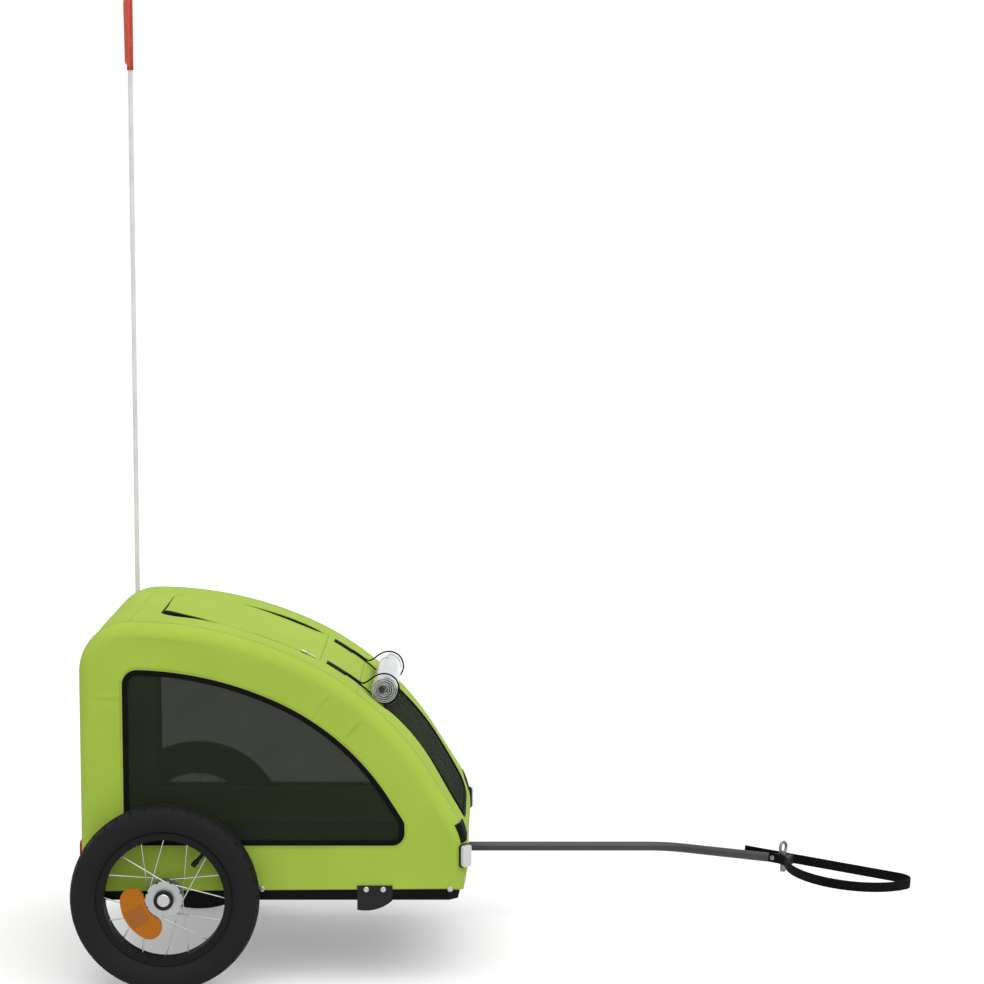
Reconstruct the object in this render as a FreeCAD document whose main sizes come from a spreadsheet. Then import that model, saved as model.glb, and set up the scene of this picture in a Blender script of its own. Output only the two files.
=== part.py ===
"""Two-wheeled dog trailer for a bicycle: a tented cabin on a tube base, with a left-hand drawbar.

X runs forward, Y to the trailer's left and Z up from the floor. Shapes are drawn with X counted
from the wheel axle, and every sub-part is then placed so that the whole part is centred along X.
"""
import FreeCAD, Part

import math
import os
import re
from types import SimpleNamespace

import Sketcher

V = FreeCAD.Vector

# Driving sizes in millimetres, then angles in degrees and counts
SIZES = {
    # Whole part
    "overall_length": 1372.0,
    "cut_overrun": 40.0,
    "seat_gap": 0.3,
    "running_gap": 0.05,
    # Wheels
    "wheel_diameter": 300.0,
    "wheel_stand_off": 65.0,
    "tyre_width": 44.0,
    "tyre_wall": 3.6,
    "tread_depth": 2.2,
    "tread_rib_width": 12.0,
    "tread_groove_width": 3.2,
    "tread_shoulder": 18.5,
    "rim_flange_radius": 107.0,
    "rim_bed_radius": 96.0,
    "rim_width": 28.0,
    "rim_wall": 1.8,
    "spoke_diameter": 2.2,
    "spoke_end_gap": 0.4,
    "spoke_head_radius": 28.4,
    "hub_length": 28.0,
    "hub_barrel_radius": 17.0,
    "hub_flange_radius": 29.5,
    "hub_flange_thickness": 3.0,
    "hub_flange_inset": 2.0,
    "hub_scallop_radius": 2.6,
    "bearing_radius": 14.0,
    "bearing_width": 8.0,
    "dust_ring_radius": 15.6,
    "dust_ring_width": 6.0,
    "wheel_reflector_length": 92.0,
    "wheel_reflector_height": 39.0,
    "wheel_reflector_thickness": 7.4,
    "wheel_reflector_distance": 50.0,
    "wheel_reflector_rib": 1.0,
    "wheel_reflector_plane": 7.0,
    "wheel_reflector_plate_length": 26.0,
    "valve_radius": 3.2,
    "valve_length": 22.0,
    "valve_cap_radius": 4.4,
    "valve_cap_length": 11.0,
    # Push-on axles
    "axle_radius": 6.0,
    "axle_insertion": 67.0,
    "axle_collar_radius": 9.0,
    "axle_head_radius": 10.3,
    "axle_head_thickness": 1.2,
    "plunger_radius": 2.9,
    "plunger_length": 60.0,
    "button_radius": 10.2,
    "button_thickness": 2.8,
    "button_travel": 3.0,
    "button_edge": 1.0,
    # Base
    "cabin_width": 435.0,
    "rail_height": 25.0,
    "rail_width": 20.0,
    "rail_wall": 1.5,
    "rail_rear": 135.5,
    "rail_front": 469.5,
    "rail_nose_slant": 6.0,
    "cross_tube_inset": 4.0,
    "axle_sleeve_radius": 11.0,
    "axle_sleeve_reach": 6.5,
    "floor_thickness": 6.0,
    "floor_margin": 8.0,
    # Cabin outline, seen from the side
    "cabin_rear": 138.0,
    "cabin_top": 583.0,
    "hem_height": 152.0,
    "rear_corner_radius": 80.0,
    "roof_radius": 635.0,
    "brow_radius": 487.0,
    "toe_height": 180.4,
    "nose_radius": 130.0,
    "edge_round": 22.0,
    "cover_thickness": 2.0,
    # Cabin frame
    "hoop_diameter": 16.0,
    "hoop_wall": 1.2,
    "hoop_inset": 16.0,
    "socket_wall": 2.0,
    "socket_height": 26.0,
    "roof_tube_diameter": 12.0,
    # Side windows
    "window_inset": 75.0,
    "window_rear": 66.0,
    "window_front": 377.0,
    "window_sill": 228.0,
    "window_top_corner": 22.0,
    "window_rear_corner": 9.0,
    "window_front_corner": 18.0,
    "mesh_thickness": 1.0,
    "binding_lap": 3.0,
    "binding_width": 8.0,
    "binding_height": 1.5,
    # Top hatch
    "hatch_rear": 20.0,
    "hatch_front": 240.0,
    "hatch_width": 250.0,
    "hatch_corner": 42.0,
    "panel_gap": 1.0,
    "hinge_gap": 2.6,
    "zip_width": 8.0,
    "zip_height": 1.2,
    "top_seam": 303.0,
    # Front door
    "door_width": 240.0,
    "door_length": 218.0,
    "door_corner": 46.0,
    "door_sill": 241.0,
    # Rolled rain cover, with its tabs and elastic cords
    "roll_radius": 23.0,
    "roll_length": 244.0,
    "roll_sheet": 1.4,
    "roll_turn_gap": 2.0,
    "cord_radius": 1.3,
    "tab_rear": 250.0,
    "tab_length": 32.0,
    "tab_width": 18.0,
    "tab_height": 1.6,
    "tab_spacing": 216.0,
    # Front patch
    "patch_inner": 150.0,
    "patch_bottom": 231.0,
    "patch_height": 31.0,
    "patch_thickness": 1.2,
    # Riveted brackets and hem bolts
    "bracket_rear": 303.0,
    "bracket_length": 56.0,
    "bracket_top": 161.5,
    "bracket_thickness": 3.0,
    "bracket_fin": 15.0,
    "bolt_height": 156.0,
    "bolt_head_radius": 4.6,
    "bolt_head_height": 2.6,
    "bolt_shank_radius": 2.5,
    "bolt_shank_length": 9.0,
    "bolt_front": 451.0,
    "bolt_middle": 151.0,
    "bolt_rear": 112.0,
    "bracket_bolt_spacing": 27.0,
    # Reflectors on the cabin
    "front_reflector_height": 38.0,
    "front_reflector_width": 22.0,
    "front_reflector_middle": 209.0,
    "reflector_height": 40.0,
    "reflector_width": 30.0,
    "reflector_lens": 4.6,
    "reflector_back": 3.0,
    "reflector_lip": 1.5,
    "reflector_spacing": 316.0,
    "reflector_middle": 203.0,
    # Drawbar, its socket and clamp screw
    "drawbar_diameter": 16.0,
    "drawbar_wall": 1.5,
    "drawbar_drop": 27.5,
    "drawbar_rear": 340.0,
    "drawbar_arm": 197.2,
    "drawbar_bend_radius": 150.0,
    "end_cap_depth": 12.0,
    "end_cap_thickness": 3.0,
    "socket_rear": 334.0,
    "socket_length": 122.0,
    "socket_tube_wall": 2.2,
    "socket_saddle_length": 96.0,
    "screw_radius": 3.0,
    "screw_boss_radius": 6.5,
    "screw_boss_height": 7.0,
    "screw_from_front": 30.0,
    "wing_span": 30.0,
    "wing_height": 12.0,
    "wing_thickness": 4.0,
    # Hitch pin and safety strap
    "pin_radius": 5.0,
    "pin_shank_radius": 5.5,
    "pin_step": 1.0,
    "pin_from_end": 15.0,
    "pin_reach": 14.0,
    "pin_shoulder_radius": 7.0,
    "pin_shoulder_height": 3.0,
    "pin_tip": 1.2,
    "ring_radius": 9.0,
    "ring_wire_radius": 2.6,
    "strap_width": 16.5,
    "strap_thickness": 2.4,
    "strap_far_lap": 88.0,
    "strap_near_lap": 14.0,
    "strap_start": 24.0,
    "strap_bulge": 96.0,
    "strap_flare_radius": 25.4,
    "strap_swell_radius": 113.0,
    "strap_tip_radius": 23.0,
    "rivet_head_radius": 4.2,
    "rivet_head_height": 1.8,
    "rivet_from_end": 31.0,
    # Flag
    "pole_diameter": 8.0,
    "pole_back": 99.0,
    "pole_top": 1645.0,
    "flag_sleeve_bottom": 318.0,
    "flag_sleeve_height": 112.0,
    "flag_sleeve_wall": 1.8,
    "flag_sleeve_floor": 4.0,
    "pennant_bottom": 1468.0,
    "pennant_height": 172.0,
    "pennant_length": 200.0,
    "pennant_thickness": 1.2,
    "pennant_wave": 15.0,
    "pennant_sag": 60.0,
    "pennant_hem": 1.4,
}
ANGLES = {
    "roof_turn": 24.7,
    "screen_slope": 58.0,
    "nose_slope": 100.0,
    "door_slope": 56.0,
    "roll_slope": 41.8,
    "spoke_lean": 52.0,
    "wheel_reflector_turn": 212.0,
    "valve_turn": 49.0,
    "drawbar_bend": 25.0,
    "strap_droop": 4.0,
    "ring_turn": 50.0,
    "front_reflector_turn": 45.0,
    "pennant_turn": 8.4,
}
COUNTS = {
    "spoke_count": 16,
    "scallop_count": 8,
    "roll_half_turns": 9,
    "tread_block_count": 40,
}
ROOF_TUBE_SHARES = (0.08, 0.62, 0.93)
SIDES = {"right": -1, "left": 1}

doc = FreeCAD.newDocument("dog_bike_trailer")
sheet = doc.addObject("Spreadsheet::Sheet", "Sizes")
NAMED = {**SIZES, **ANGLES, **COUNTS}
for row, (alias, number) in enumerate(NAMED.items(), start=1):
    sheet.set(f"A{row}", alias)
    sheet.set(f"B{row}", str(number))
    sheet.setAlias(f"B{row}", alias)
doc.recompute()
d = SimpleNamespace(**{alias: float(sheet.get(alias)) for alias in NAMED})

# Places that several sub-parts share
AXLE = "(wheel_diameter / 2 - overall_length / 2)"
AXLE_X = d.wheel_diameter / 2 - d.overall_length / 2
AXLE_Z = d.wheel_diameter / 2
HALF_CABIN = d.cabin_width / 2
RAIL_BOTTOM = AXLE_Z - d.rail_height / 2
RAIL_TOP = AXLE_Z + d.rail_height / 2
RAIL_OUTER = HALF_CABIN - d.cover_thickness
RAIL_INNER = RAIL_OUTER - d.rail_width
TRACK = "(cabin_width + wheel_stand_off)"
HALF_TRACK = (d.cabin_width + d.wheel_stand_off) / 2
RAIL_INNER_F = "(cabin_width / 2 - cover_thickness - rail_width)"
RAIL_OUTER_F = "(cabin_width / 2 - cover_thickness)"
# The rails' ends are cut off to lie inside the rounded corners of the cover
RAIL_CORNER_F = "(edge_round - cover_thickness - seat_gap)"

# Bolts along the hem by their place from the axle, with the thickness of what they hold on it
BRACKET_MIDDLE = "bracket_rear + bracket_length / 2"
BOLT_PLACES = {
    f"{BRACKET_MIDDLE} - bracket_bolt_spacing / 2": d.bracket_thickness,
    f"{BRACKET_MIDDLE} + bracket_bolt_spacing / 2": d.bracket_thickness,
    "bolt_front": 0,
    "bolt_middle": 0,
    "-bolt_rear": 0,
}

ALONG_Y = FreeCAD.Rotation(V(1, 0, 0), -90)
ALONG_MINUS_Y = FreeCAD.Rotation(V(1, 0, 0), 90)
OUTWARD = {"right": ALONG_MINUS_Y, "left": ALONG_Y}
WORD = re.compile(r"[a-z][a-z_]+")

nodes = []


def in_sheet(formula):
    """Point each size's name in a formula at its cell."""
    return WORD.sub(lambda found: "Sizes." + found[0] if found[0] in NAMED else found[0], formula)


def value(formula):
    """Number that a formula of the sheet's sizes comes to."""
    return float(sheet.evalExpression(in_sheet(formula)))


def bind(item, **formulas):
    """Tie properties of an object to formulas of the sheet's sizes."""
    for prop, formula in formulas.items():
        item.setExpression(prop, in_sheet(formula))
    return item


def place(item, x="0", y="0", z="0", turn=None):
    """Turn an object, then tie its place to formulas of the sheet's sizes."""
    if turn is not None:
        item.Placement = FreeCAD.Placement(V(0, 0, 0), turn)
    for axis, formula in zip("xyz", (x, y, z)):
        item.setExpression("Placement.Base." + axis, in_sheet(formula))
    return item


def named(item, label):
    """Give a finished sub-part the label that names its file."""
    item.Label = label
    nodes.append(item)
    return item


def cylinder(radius, height, turn=None, **at):
    """A bound cylinder that grows from its place along its turned axis."""
    rod = bind(doc.addObject("Part::Cylinder", "rod"), Radius=radius, Height=height)
    return place(rod, turn=turn, **at)


def box(length, width, height, turn=None, **at):
    """A bound block that grows from its place."""
    block = bind(doc.addObject("Part::Box", "block"), Length=length, Width=width, Height=height)
    return place(block, turn=turn, **at)


def cut(base, *tools):
    """Base with each tool taken out of it."""
    for tool in tools:
        hollow = doc.addObject("Part::Cut", "cut")
        hollow.Base = base
        hollow.Tool = tool
        base = hollow
    return base


def fuse(*pieces):
    """One solid of overlapping pieces."""
    joined = doc.addObject("Part::MultiFuse", "joined")
    joined.Shapes = list(pieces)
    return joined


def group(label, pieces):
    """Separate alike pieces kept under one name."""
    kept = doc.addObject("Part::Compound", "group")
    kept.Links = list(pieces)
    return named(kept, label)


def tube(outer, inner, length, turn=None, **at):
    """A bound round tube with open ends."""
    return cut(cylinder(outer, length, turn, **at), cylinder(inner, length, turn, **at))


def drawn(label, shape):
    """A sub-part whose shape is worked out here, with X counted from the axle."""
    item = doc.addObject("Part::Feature", label)
    item.Shape = shape
    item.Placement = FreeCAD.Placement(V(AXLE_X, 0, 0), FreeCAD.Rotation()) * item.Placement
    return named(item, label)


def sketched(body, corners, role="XZ_Plane"):
    """A closed outline of straight lines whose corners are bound to formulas."""
    sketch = body.newObject("Sketcher::SketchObject", "outline")
    plane = next(item for item in body.Origin.OriginFeatures if item.Role == role)
    sketch.AttachmentSupport = [(plane, "")]
    sketch.MapMode = "FlatFace"
    spots = [tuple(value(part) for part in pair) for pair in corners]
    for here, there in zip(spots, spots[1:] + spots[:1]):
        sketch.addGeometry(Part.LineSegment(V(*here, 0), V(*there, 0)), False)
    for edge in range(len(corners)):
        sketch.addConstraint(Sketcher.Constraint("Coincident", edge, 2, (edge + 1) % len(corners), 1))
    for edge, (pair, spot) in enumerate(zip(corners, spots)):
        for kind, formula, number in zip(("DistanceX", "DistanceY"), pair, spot):
            rule = sketch.addConstraint(Sketcher.Constraint(kind, -1, 1, edge, 1, number))
            sketch.setExpression(f"Constraints[{rule}]", in_sheet(formula))
    return sketch


def turned(corners):
    """A body turned about its own Z axis from (radius, height) corners."""
    body = doc.addObject("PartDesign::Body", "turned")
    sketch = sketched(body, corners)
    spin = body.newObject("PartDesign::Revolution", "spin")
    spin.Profile = sketch
    spin.ReferenceAxis = (sketch, ["V_Axis"])
    spin.Angle = 360
    return body


def padded(corners, length, role="XZ_Plane", midplane=False):
    """A body of a flat outline given a thickness."""
    body = doc.addObject("PartDesign::Body", "padded")
    sketch = sketched(body, corners, role)
    pad = body.newObject("PartDesign::Pad", "pad")
    pad.Profile = sketch
    pad.setExpression("Length", in_sheet(length))
    pad.Midplane = midplane
    return body


def polar(radius, angle, height=0):
    """Point at a radius and an angle in degrees, in the XY plane."""
    return V(radius * math.cos(math.radians(angle)), radius * math.sin(math.radians(angle)), height)


def arc(centre, radius, start, end, spot):
    """Arc between two angles in degrees, with spot making a point from two coordinates."""
    angles = (start, (start + end) / 2, end)
    ways = [(math.cos(math.radians(angle)), math.sin(math.radians(angle))) for angle in angles]
    points = [spot(centre[0] + radius * cosine, centre[1] + radius * sine) for cosine, sine in ways]
    return Part.Arc(*points).toShape()


def side_on(x, z):
    """Point in the upright plane along the trailer."""
    return V(x, 0, z)


def swept(path, radius):
    """Round bar along a wire of tangent edges."""
    edge = path.OrderedEdges[0]
    start = edge.valueAt(edge.FirstParameter)
    ring = Part.Wire(Part.Circle(start, edge.tangentAt(edge.FirstParameter), radius).toShape())
    return path.makePipeShell([ring], True, True)


# Cabin outline: rear wall, rear corner, roof, brow, sloped screen, nose and toe
def slope_way(slope):
    """Outward normal where the outline falls at a slope in degrees."""
    return math.sin(math.radians(slope)), math.cos(math.radians(slope))


def shifted(point, slope, distance):
    """A point moved along the outline's normal at a slope."""
    way = slope_way(slope)
    return point[0] + distance * way[0], point[1] + distance * way[1]


CORNER_CENTRE = (d.rear_corner_radius - d.cabin_rear, d.cabin_top - d.rear_corner_radius)
ROOF_CENTRE = (CORNER_CENTRE[0], d.cabin_top - d.roof_radius)
BROW_CENTRE = shifted(ROOF_CENTRE, d.roof_turn, d.roof_radius - d.brow_radius)
SCREEN_TOP = shifted(BROW_CENTRE, d.screen_slope, d.brow_radius)
NOSE_DROP = d.nose_radius * (slope_way(d.screen_slope)[1] - slope_way(d.nose_slope)[1])
SCREEN_DROP = SCREEN_TOP[1] - NOSE_DROP - d.toe_height
SCREEN_FOOT = (SCREEN_TOP[0] + SCREEN_DROP / math.tan(math.radians(d.screen_slope)),
               SCREEN_TOP[1] - SCREEN_DROP)
NOSE_CENTRE = shifted(SCREEN_FOOT, d.screen_slope, -d.nose_radius)


def outline_edges(inset, bottom):
    """Edges of the cabin outline moved inwards, from the rear foot over the roof to the toe."""
    rear = inset - d.cabin_rear
    toe_top = shifted(NOSE_CENTRE, d.nose_slope, d.nose_radius - inset)
    sine, cosine = slope_way(d.nose_slope)
    toe = (toe_top[0] + (toe_top[1] - bottom) / sine * cosine, bottom)
    screen = [shifted(point, d.screen_slope, -inset) for point in (SCREEN_TOP, SCREEN_FOOT)]

    def turn(centre, radius, start, end):
        return arc(centre, radius - inset, 90 - start, 90 - end, side_on)

    return [
        Part.LineSegment(side_on(rear, bottom), side_on(rear, CORNER_CENTRE[1])).toShape(),
        turn(CORNER_CENTRE, d.rear_corner_radius, -90, 0),
        turn(ROOF_CENTRE, d.roof_radius, 0, d.roof_turn),
        turn(BROW_CENTRE, d.brow_radius, d.roof_turn, d.screen_slope),
        Part.LineSegment(side_on(*screen[0]), side_on(*screen[1])).toShape(),
        turn(NOSE_CENTRE, d.nose_radius, d.screen_slope, d.nose_slope),
        Part.LineSegment(side_on(*toe_top), side_on(*toe)).toShape(),
    ]


def outline_block(inset, bottom, half_width):
    """The cabin outline as a solid as wide as twice half_width."""
    edges = outline_edges(inset, bottom)
    toe = edges[-1].Vertexes[-1].Point
    foot = edges[0].Vertexes[0].Point
    wire = Part.Wire(edges + [Part.LineSegment(toe, foot).toShape()])
    face = Part.Face(wire)
    face.translate(V(0, -half_width, 0))
    return face.extrude(V(0, 2 * half_width, 0))


def rounded_block(inset, bottom):
    """The cabin solid with its long side edges rounded."""
    half = HALF_CABIN - inset
    block = outline_block(inset, bottom, half)
    rims = [edge for edge in block.Edges
            if abs(abs(edge.CenterOfMass.y) - half) < d.seat_gap
            and edge.BoundBox.ZMax - bottom > d.seat_gap]
    return block.makeFillet(d.edge_round - inset, rims)


def slab(x_low, x_high, half_width, z_low, z_high):
    """A block centred across the trailer."""
    return Part.makeBox(x_high - x_low, 2 * half_width, z_high - z_low, V(x_low, -half_width, z_low))


def skin(outside, inside, half_width):
    """Layer of the cabin outline between two insets."""
    return outline_block(outside, d.hem_height, half_width).cut(
        outline_block(inside, d.hem_height - d.cut_overrun, half_width + d.cut_overrun))


def upright_plug(x_low, x_high, width, corner):
    """Upright prism whose rear corners are rounded, for cutting the top hatch."""
    block = slab(x_low, x_high, width / 2, AXLE_Z, d.cabin_top + d.cut_overrun)
    rear = [edge for edge in block.Edges
            if edge.BoundBox.ZLength > d.cut_overrun and edge.CenterOfMass.x < x_low + d.seat_gap]
    return block.makeFillet(corner, rear)


# Hinge line of the front door, on the outer face of the nose
DOOR_HINGE_X = NOSE_CENTRE[0] + math.sqrt(d.nose_radius ** 2 - (d.door_sill - NOSE_CENTRE[1]) ** 2)


def screen_plug(low, high, width, corner):
    """Prism square to the sloped screen, lower corners rounded, for cutting the front door."""
    depth = 2 * d.cut_overrun
    block = Part.makeBox(depth, width, high - low, V(-depth / 2, -width / 2, low))
    lower = [edge for edge in block.Edges
             if edge.BoundBox.XLength > d.cut_overrun and edge.CenterOfMass.z < low + d.seat_gap]
    block = block.makeFillet(corner, lower)
    block.rotate(V(0, 0, 0), V(0, 1, 0), d.door_slope - 90)
    block.translate(V(DOOR_HINGE_X, 0, d.door_sill))
    return block


def window_plug(grow):
    """Prism across the cabin with the side windows' outline, grown by a margin."""
    rear, front = -d.window_rear - grow, d.window_front + grow
    sill = d.window_sill - grow
    roof = d.roof_radius - d.window_inset + grow
    brow = d.brow_radius - d.window_inset + grow
    rear_slope = math.degrees(math.asin((rear - ROOF_CENTRE[0]) / roof))
    screen_top = shifted(BROW_CENTRE, d.screen_slope, brow)
    drop = (front - screen_top[0]) * math.tan(math.radians(d.screen_slope))
    rear_top = shifted(ROOF_CENTRE, rear_slope, roof)
    front_top = (front, screen_top[1] - drop)
    edges = [
        Part.LineSegment(side_on(rear, sill), side_on(*rear_top)).toShape(),
        arc(ROOF_CENTRE, roof, 90 - rear_slope, 90 - d.roof_turn, side_on),
        arc(BROW_CENTRE, brow, 90 - d.roof_turn, 90 - d.screen_slope, side_on),
        Part.LineSegment(side_on(*screen_top), side_on(*front_top)).toShape(),
        Part.LineSegment(side_on(*front_top), side_on(front, sill)).toShape(),
        Part.LineSegment(side_on(front, sill), side_on(rear, sill)).toShape(),
    ]
    face = Part.Face(Part.Wire(edges))
    reach = HALF_CABIN + d.cut_overrun
    face.translate(V(0, -reach, 0))
    block = face.extrude(V(0, 2 * reach, 0))
    rounding = (((rear, sill), d.window_rear_corner), (rear_top, d.window_top_corner),
                (front_top, d.window_front_corner), ((front, sill), d.window_front_corner))
    for (x, z), radius in rounding:
        corner = [edge for edge in block.Edges
                  if (edge.CenterOfMass - side_on(x, z)).Length < d.seat_gap]
        block = block.makeFillet(radius + grow, corner)
    return block


def one_side(shape, side, low, high):
    """The part of a shape that lies between two distances from the middle, on one side."""
    start = low if SIDES[side] > 0 else -high
    return shape.common(Part.makeBox(d.overall_length, high - low, d.cabin_top + d.cut_overrun,
                                     V(-d.overall_length / 2, start, 0)))


def make_base():
    """Rails with slanted noses, cross tubes, axle beam, axle sleeves and floor board."""
    axle_bore = "axle_sleeve_radius + running_gap"
    for side, sign in SIDES.items():
        inner = RAIL_INNER_F if sign > 0 else "-" + RAIL_OUTER_F
        near, far = f"{sign} * {RAIL_INNER_F}", f"{sign} * {RAIL_OUTER_F}"
        round_off = f"{sign} * ({RAIL_OUTER_F} - {RAIL_CORNER_F})"
        bar = padded([("-rail_rear", near), ("rail_front", near), ("rail_front", round_off),
                      (f"rail_front - {RAIL_CORNER_F}", far), (f"-rail_rear + {RAIL_CORNER_F}", far),
                      ("-rail_rear", round_off)], "rail_height", "XY_Plane")
        place(bar, x=AXLE, z="wheel_diameter / 2 - rail_height / 2")
        wedge = padded([("rail_front - rail_nose_slant", "-rail_height / 2"),
                        ("rail_front + rail_nose_slant", "-rail_height / 2"),
                        ("rail_front + rail_nose_slant", "rail_height / 2"),
                        ("rail_front", "rail_height / 2")], "cabin_width", midplane=True)
        rail = cut(bar, place(wedge, x=AXLE, z="wheel_diameter / 2"))
        core = box(f"rail_rear + rail_front - 2 * {RAIL_CORNER_F}", "rail_width - 2 * rail_wall",
                   "rail_height - 2 * rail_wall", x=f"{AXLE} - rail_rear + {RAIL_CORNER_F}",
                   y=f"{inner} + rail_wall", z="wheel_diameter / 2 - rail_height / 2 + rail_wall")
        bore = cylinder(axle_bore, "rail_width + 2 * cut_overrun", ALONG_Y, x=AXLE,
                        y=f"{inner} - cut_overrun", z="wheel_diameter / 2")
        holes = [cylinder("bolt_shank_radius", "cut_overrun", OUTWARD[side], x=f"{AXLE} + {along}",
                          y=f"{sign} * ({RAIL_OUTER_F} - rail_width / 2)", z="bolt_height")
                 for along in BOLT_PLACES]
        named(cut(rail, core, bore, *holes), "rail_" + side)
    span = f"2 * {RAIL_INNER_F}"
    crossings = []
    for start in ("-rail_rear + cross_tube_inset",
                  "rail_front - rail_nose_slant - rail_width"):
        outer = box("rail_width", span, "rail_height", x=f"{AXLE} + {start}", y="-" + RAIL_INNER_F,
                    z="wheel_diameter / 2 - rail_height / 2")
        core = box("rail_width - 2 * rail_wall", span, "rail_height - 2 * rail_wall",
                   x=f"{AXLE} + {start} + rail_wall", y="-" + RAIL_INNER_F,
                   z="wheel_diameter / 2 - rail_height / 2 + rail_wall")
        crossings.append(cut(outer, core))
    group("cross_tubes", crossings)
    named(tube("rail_height / 2", axle_bore, span, ALONG_Y, x=AXLE, y="-" + RAIL_INNER_F,
               z="wheel_diameter / 2"), "axle_beam")
    sleeves = []
    for side, sign in SIDES.items():
        sleeves.append(tube("axle_sleeve_radius", "axle_radius + running_gap", "axle_insertion",
                            OUTWARD[side], x=AXLE, z="wheel_diameter / 2",
                            y=f"{sign} * ({RAIL_OUTER_F} + axle_sleeve_reach - axle_insertion)"))
    group("axle_sleeves", sleeves)
    hoop_inner = "(cabin_width / 2 - hoop_inset - hoop_diameter / 2 - socket_wall)"
    named(box("rail_rear + rail_front - rail_nose_slant - 2 * floor_margin",
              f"2 * {hoop_inner} - floor_margin / 2", "floor_thickness",
              x=f"{AXLE} - rail_rear + floor_margin", y=f"-{hoop_inner} + floor_margin / 4",
              z="wheel_diameter / 2 + rail_height / 2"), "floor_board")


def make_cabin_frame():
    """Side hoops bent to the cabin outline, their foot sockets and roof tubes coped to the hoops."""
    lane = HALF_CABIN - d.hoop_inset
    radius = d.hoop_diameter / 2
    below = slab(-d.overall_length, d.overall_length, d.cabin_width, 0, RAIL_TOP)
    bars = []
    feet = []
    for side, sign in SIDES.items():
        path = Part.Wire(outline_edges(d.hoop_inset, RAIL_BOTTOM))
        path.translate(V(0, sign * lane, 0))
        bars.append(swept(path, radius).cut(below))
        drawn("hoop_" + side, bars[-1].cut(swept(path, radius - d.hoop_wall)))
        for edge in (path.OrderedEdges[0], path.OrderedEdges[-1]):
            way = edge.tangentAt(edge.FirstParameter)
            way = way if way.z > 0 else way * -1
            low = min((vertex.Point for vertex in edge.Vertexes), key=lambda point: point.z)
            height = d.rail_height + d.socket_height
            outer = Part.makeCylinder(radius + d.socket_wall, height, low, way)
            inner = Part.makeCylinder(radius, 2 * height, low - way * d.rail_height, way)
            feet.append(outer.cut(inner).cut(below))
    drawn("hoop_sockets", Part.Compound(feet))
    ridge = Part.Wire(outline_edges(d.hoop_inset, RAIL_TOP)[1:5])
    across = V(0, 1, 0)
    tubes = []
    for share in ROOF_TUBE_SHARES:
        spot = ridge.discretize(Distance=ridge.Length * share)[1] - across * lane
        tube_radius = d.roof_tube_diameter / 2
        rod = Part.makeCylinder(tube_radius, 2 * lane, spot, across)
        rod = rod.cut(Part.makeCylinder(tube_radius - d.hoop_wall, 2 * lane, spot, across))
        tubes.append(rod.cut(bars[0]).cut(bars[1]))
    drawn("roof_tubes", Part.Compound(tubes))


def make_cover():
    """Sewn cover cut into its panels, with the windows, hatch and door taken out of it."""
    shell = rounded_block(0, d.hem_height).cut(
        rounded_block(d.cover_thickness, d.hem_height - d.cut_overrun))
    middle = HALF_CABIN - d.edge_round
    axle_notch = Part.makeCylinder(d.axle_sleeve_radius + d.seat_gap, 2 * d.cabin_width,
                                   V(0, -d.cabin_width, AXLE_Z), V(0, 1, 0))
    window = window_plug(0)
    bolt_holes = Part.Compound([
        Part.makeCylinder(d.bolt_shank_radius, 2 * d.cabin_width,
                          V(value(along), -d.cabin_width, d.bolt_height), V(0, 1, 0))
        for along in BOLT_PLACES])
    for side in SIDES:
        panel = one_side(shell, side, middle, d.cabin_width)
        drawn("cover_" + side, panel.cut(axle_notch).cut(bolt_holes).cut(window))
        pane = one_side(window, side, RAIL_OUTER + d.mesh_thickness / 2,
                        RAIL_OUTER + d.mesh_thickness * 3 / 2)
        drawn("window_" + side, pane)
    high = d.cabin_top + d.cut_overrun
    ends = d.overall_length
    drawn("cover_rear", shell.common(slab(-ends, CORNER_CENTRE[0], middle, 0, high)))
    hatch = upright_plug(-d.hatch_rear, d.hatch_front, d.hatch_width, d.hatch_corner)
    drawn("cover_top", shell.common(slab(CORNER_CENTRE[0], d.top_seam, middle, 0, high)).cut(hatch))
    door = screen_plug(0, d.door_length, d.door_width, d.door_corner)
    drawn("cover_front", shell.common(slab(d.top_seam, ends, middle, 0, high)).cut(door))
    binding = window_plug(d.binding_lap).cut(window_plug(d.binding_lap - d.binding_width))
    drawn("window_bindings", Part.Compound([
        one_side(binding, side, HALF_CABIN, HALF_CABIN + d.binding_height) for side in SIDES]))
    layer = rounded_block(-d.patch_thickness, d.hem_height).cut(
        rounded_block(0, d.hem_height - d.cut_overrun))
    patch_outer = HALF_CABIN - d.edge_round / 4
    band = layer.common(slab(0, ends, patch_outer, d.patch_bottom, d.patch_bottom + d.patch_height))
    drawn("front_patch", Part.Compound([
        one_side(band, side, d.patch_inner, patch_outer) for side in SIDES]))


def make_hatch():
    """Zipped flap of the roof and the zip tape along its three free edges."""
    gap = d.panel_gap
    front = d.hatch_front - d.hinge_gap

    def plug(inset):
        return upright_plug(gap + inset - d.hatch_rear, front, d.hatch_width - 2 * gap - 2 * inset,
                            d.hatch_corner - gap)

    drawn("hatch_flap", skin(0, d.cover_thickness, HALF_CABIN).common(plug(0)))
    drawn("hatch_zip", skin(-d.zip_height, 0, HALF_CABIN).common(plug(0).cut(plug(d.zip_width))))


def make_door():
    """Front mesh door, hinged along its sill, and the binding round its edge."""
    gap = d.seat_gap

    def plug(inset):
        return screen_plug(d.hinge_gap + inset, d.door_length - gap - inset,
                           d.door_width - 2 * gap - 2 * inset, d.door_corner - gap)

    drawn("door_mesh", skin(0, d.mesh_thickness, HALF_CABIN).common(plug(0)))
    drawn("door_binding", skin(-d.binding_height, 0, HALF_CABIN).common(
        plug(0).cut(plug(d.binding_width))))


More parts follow.
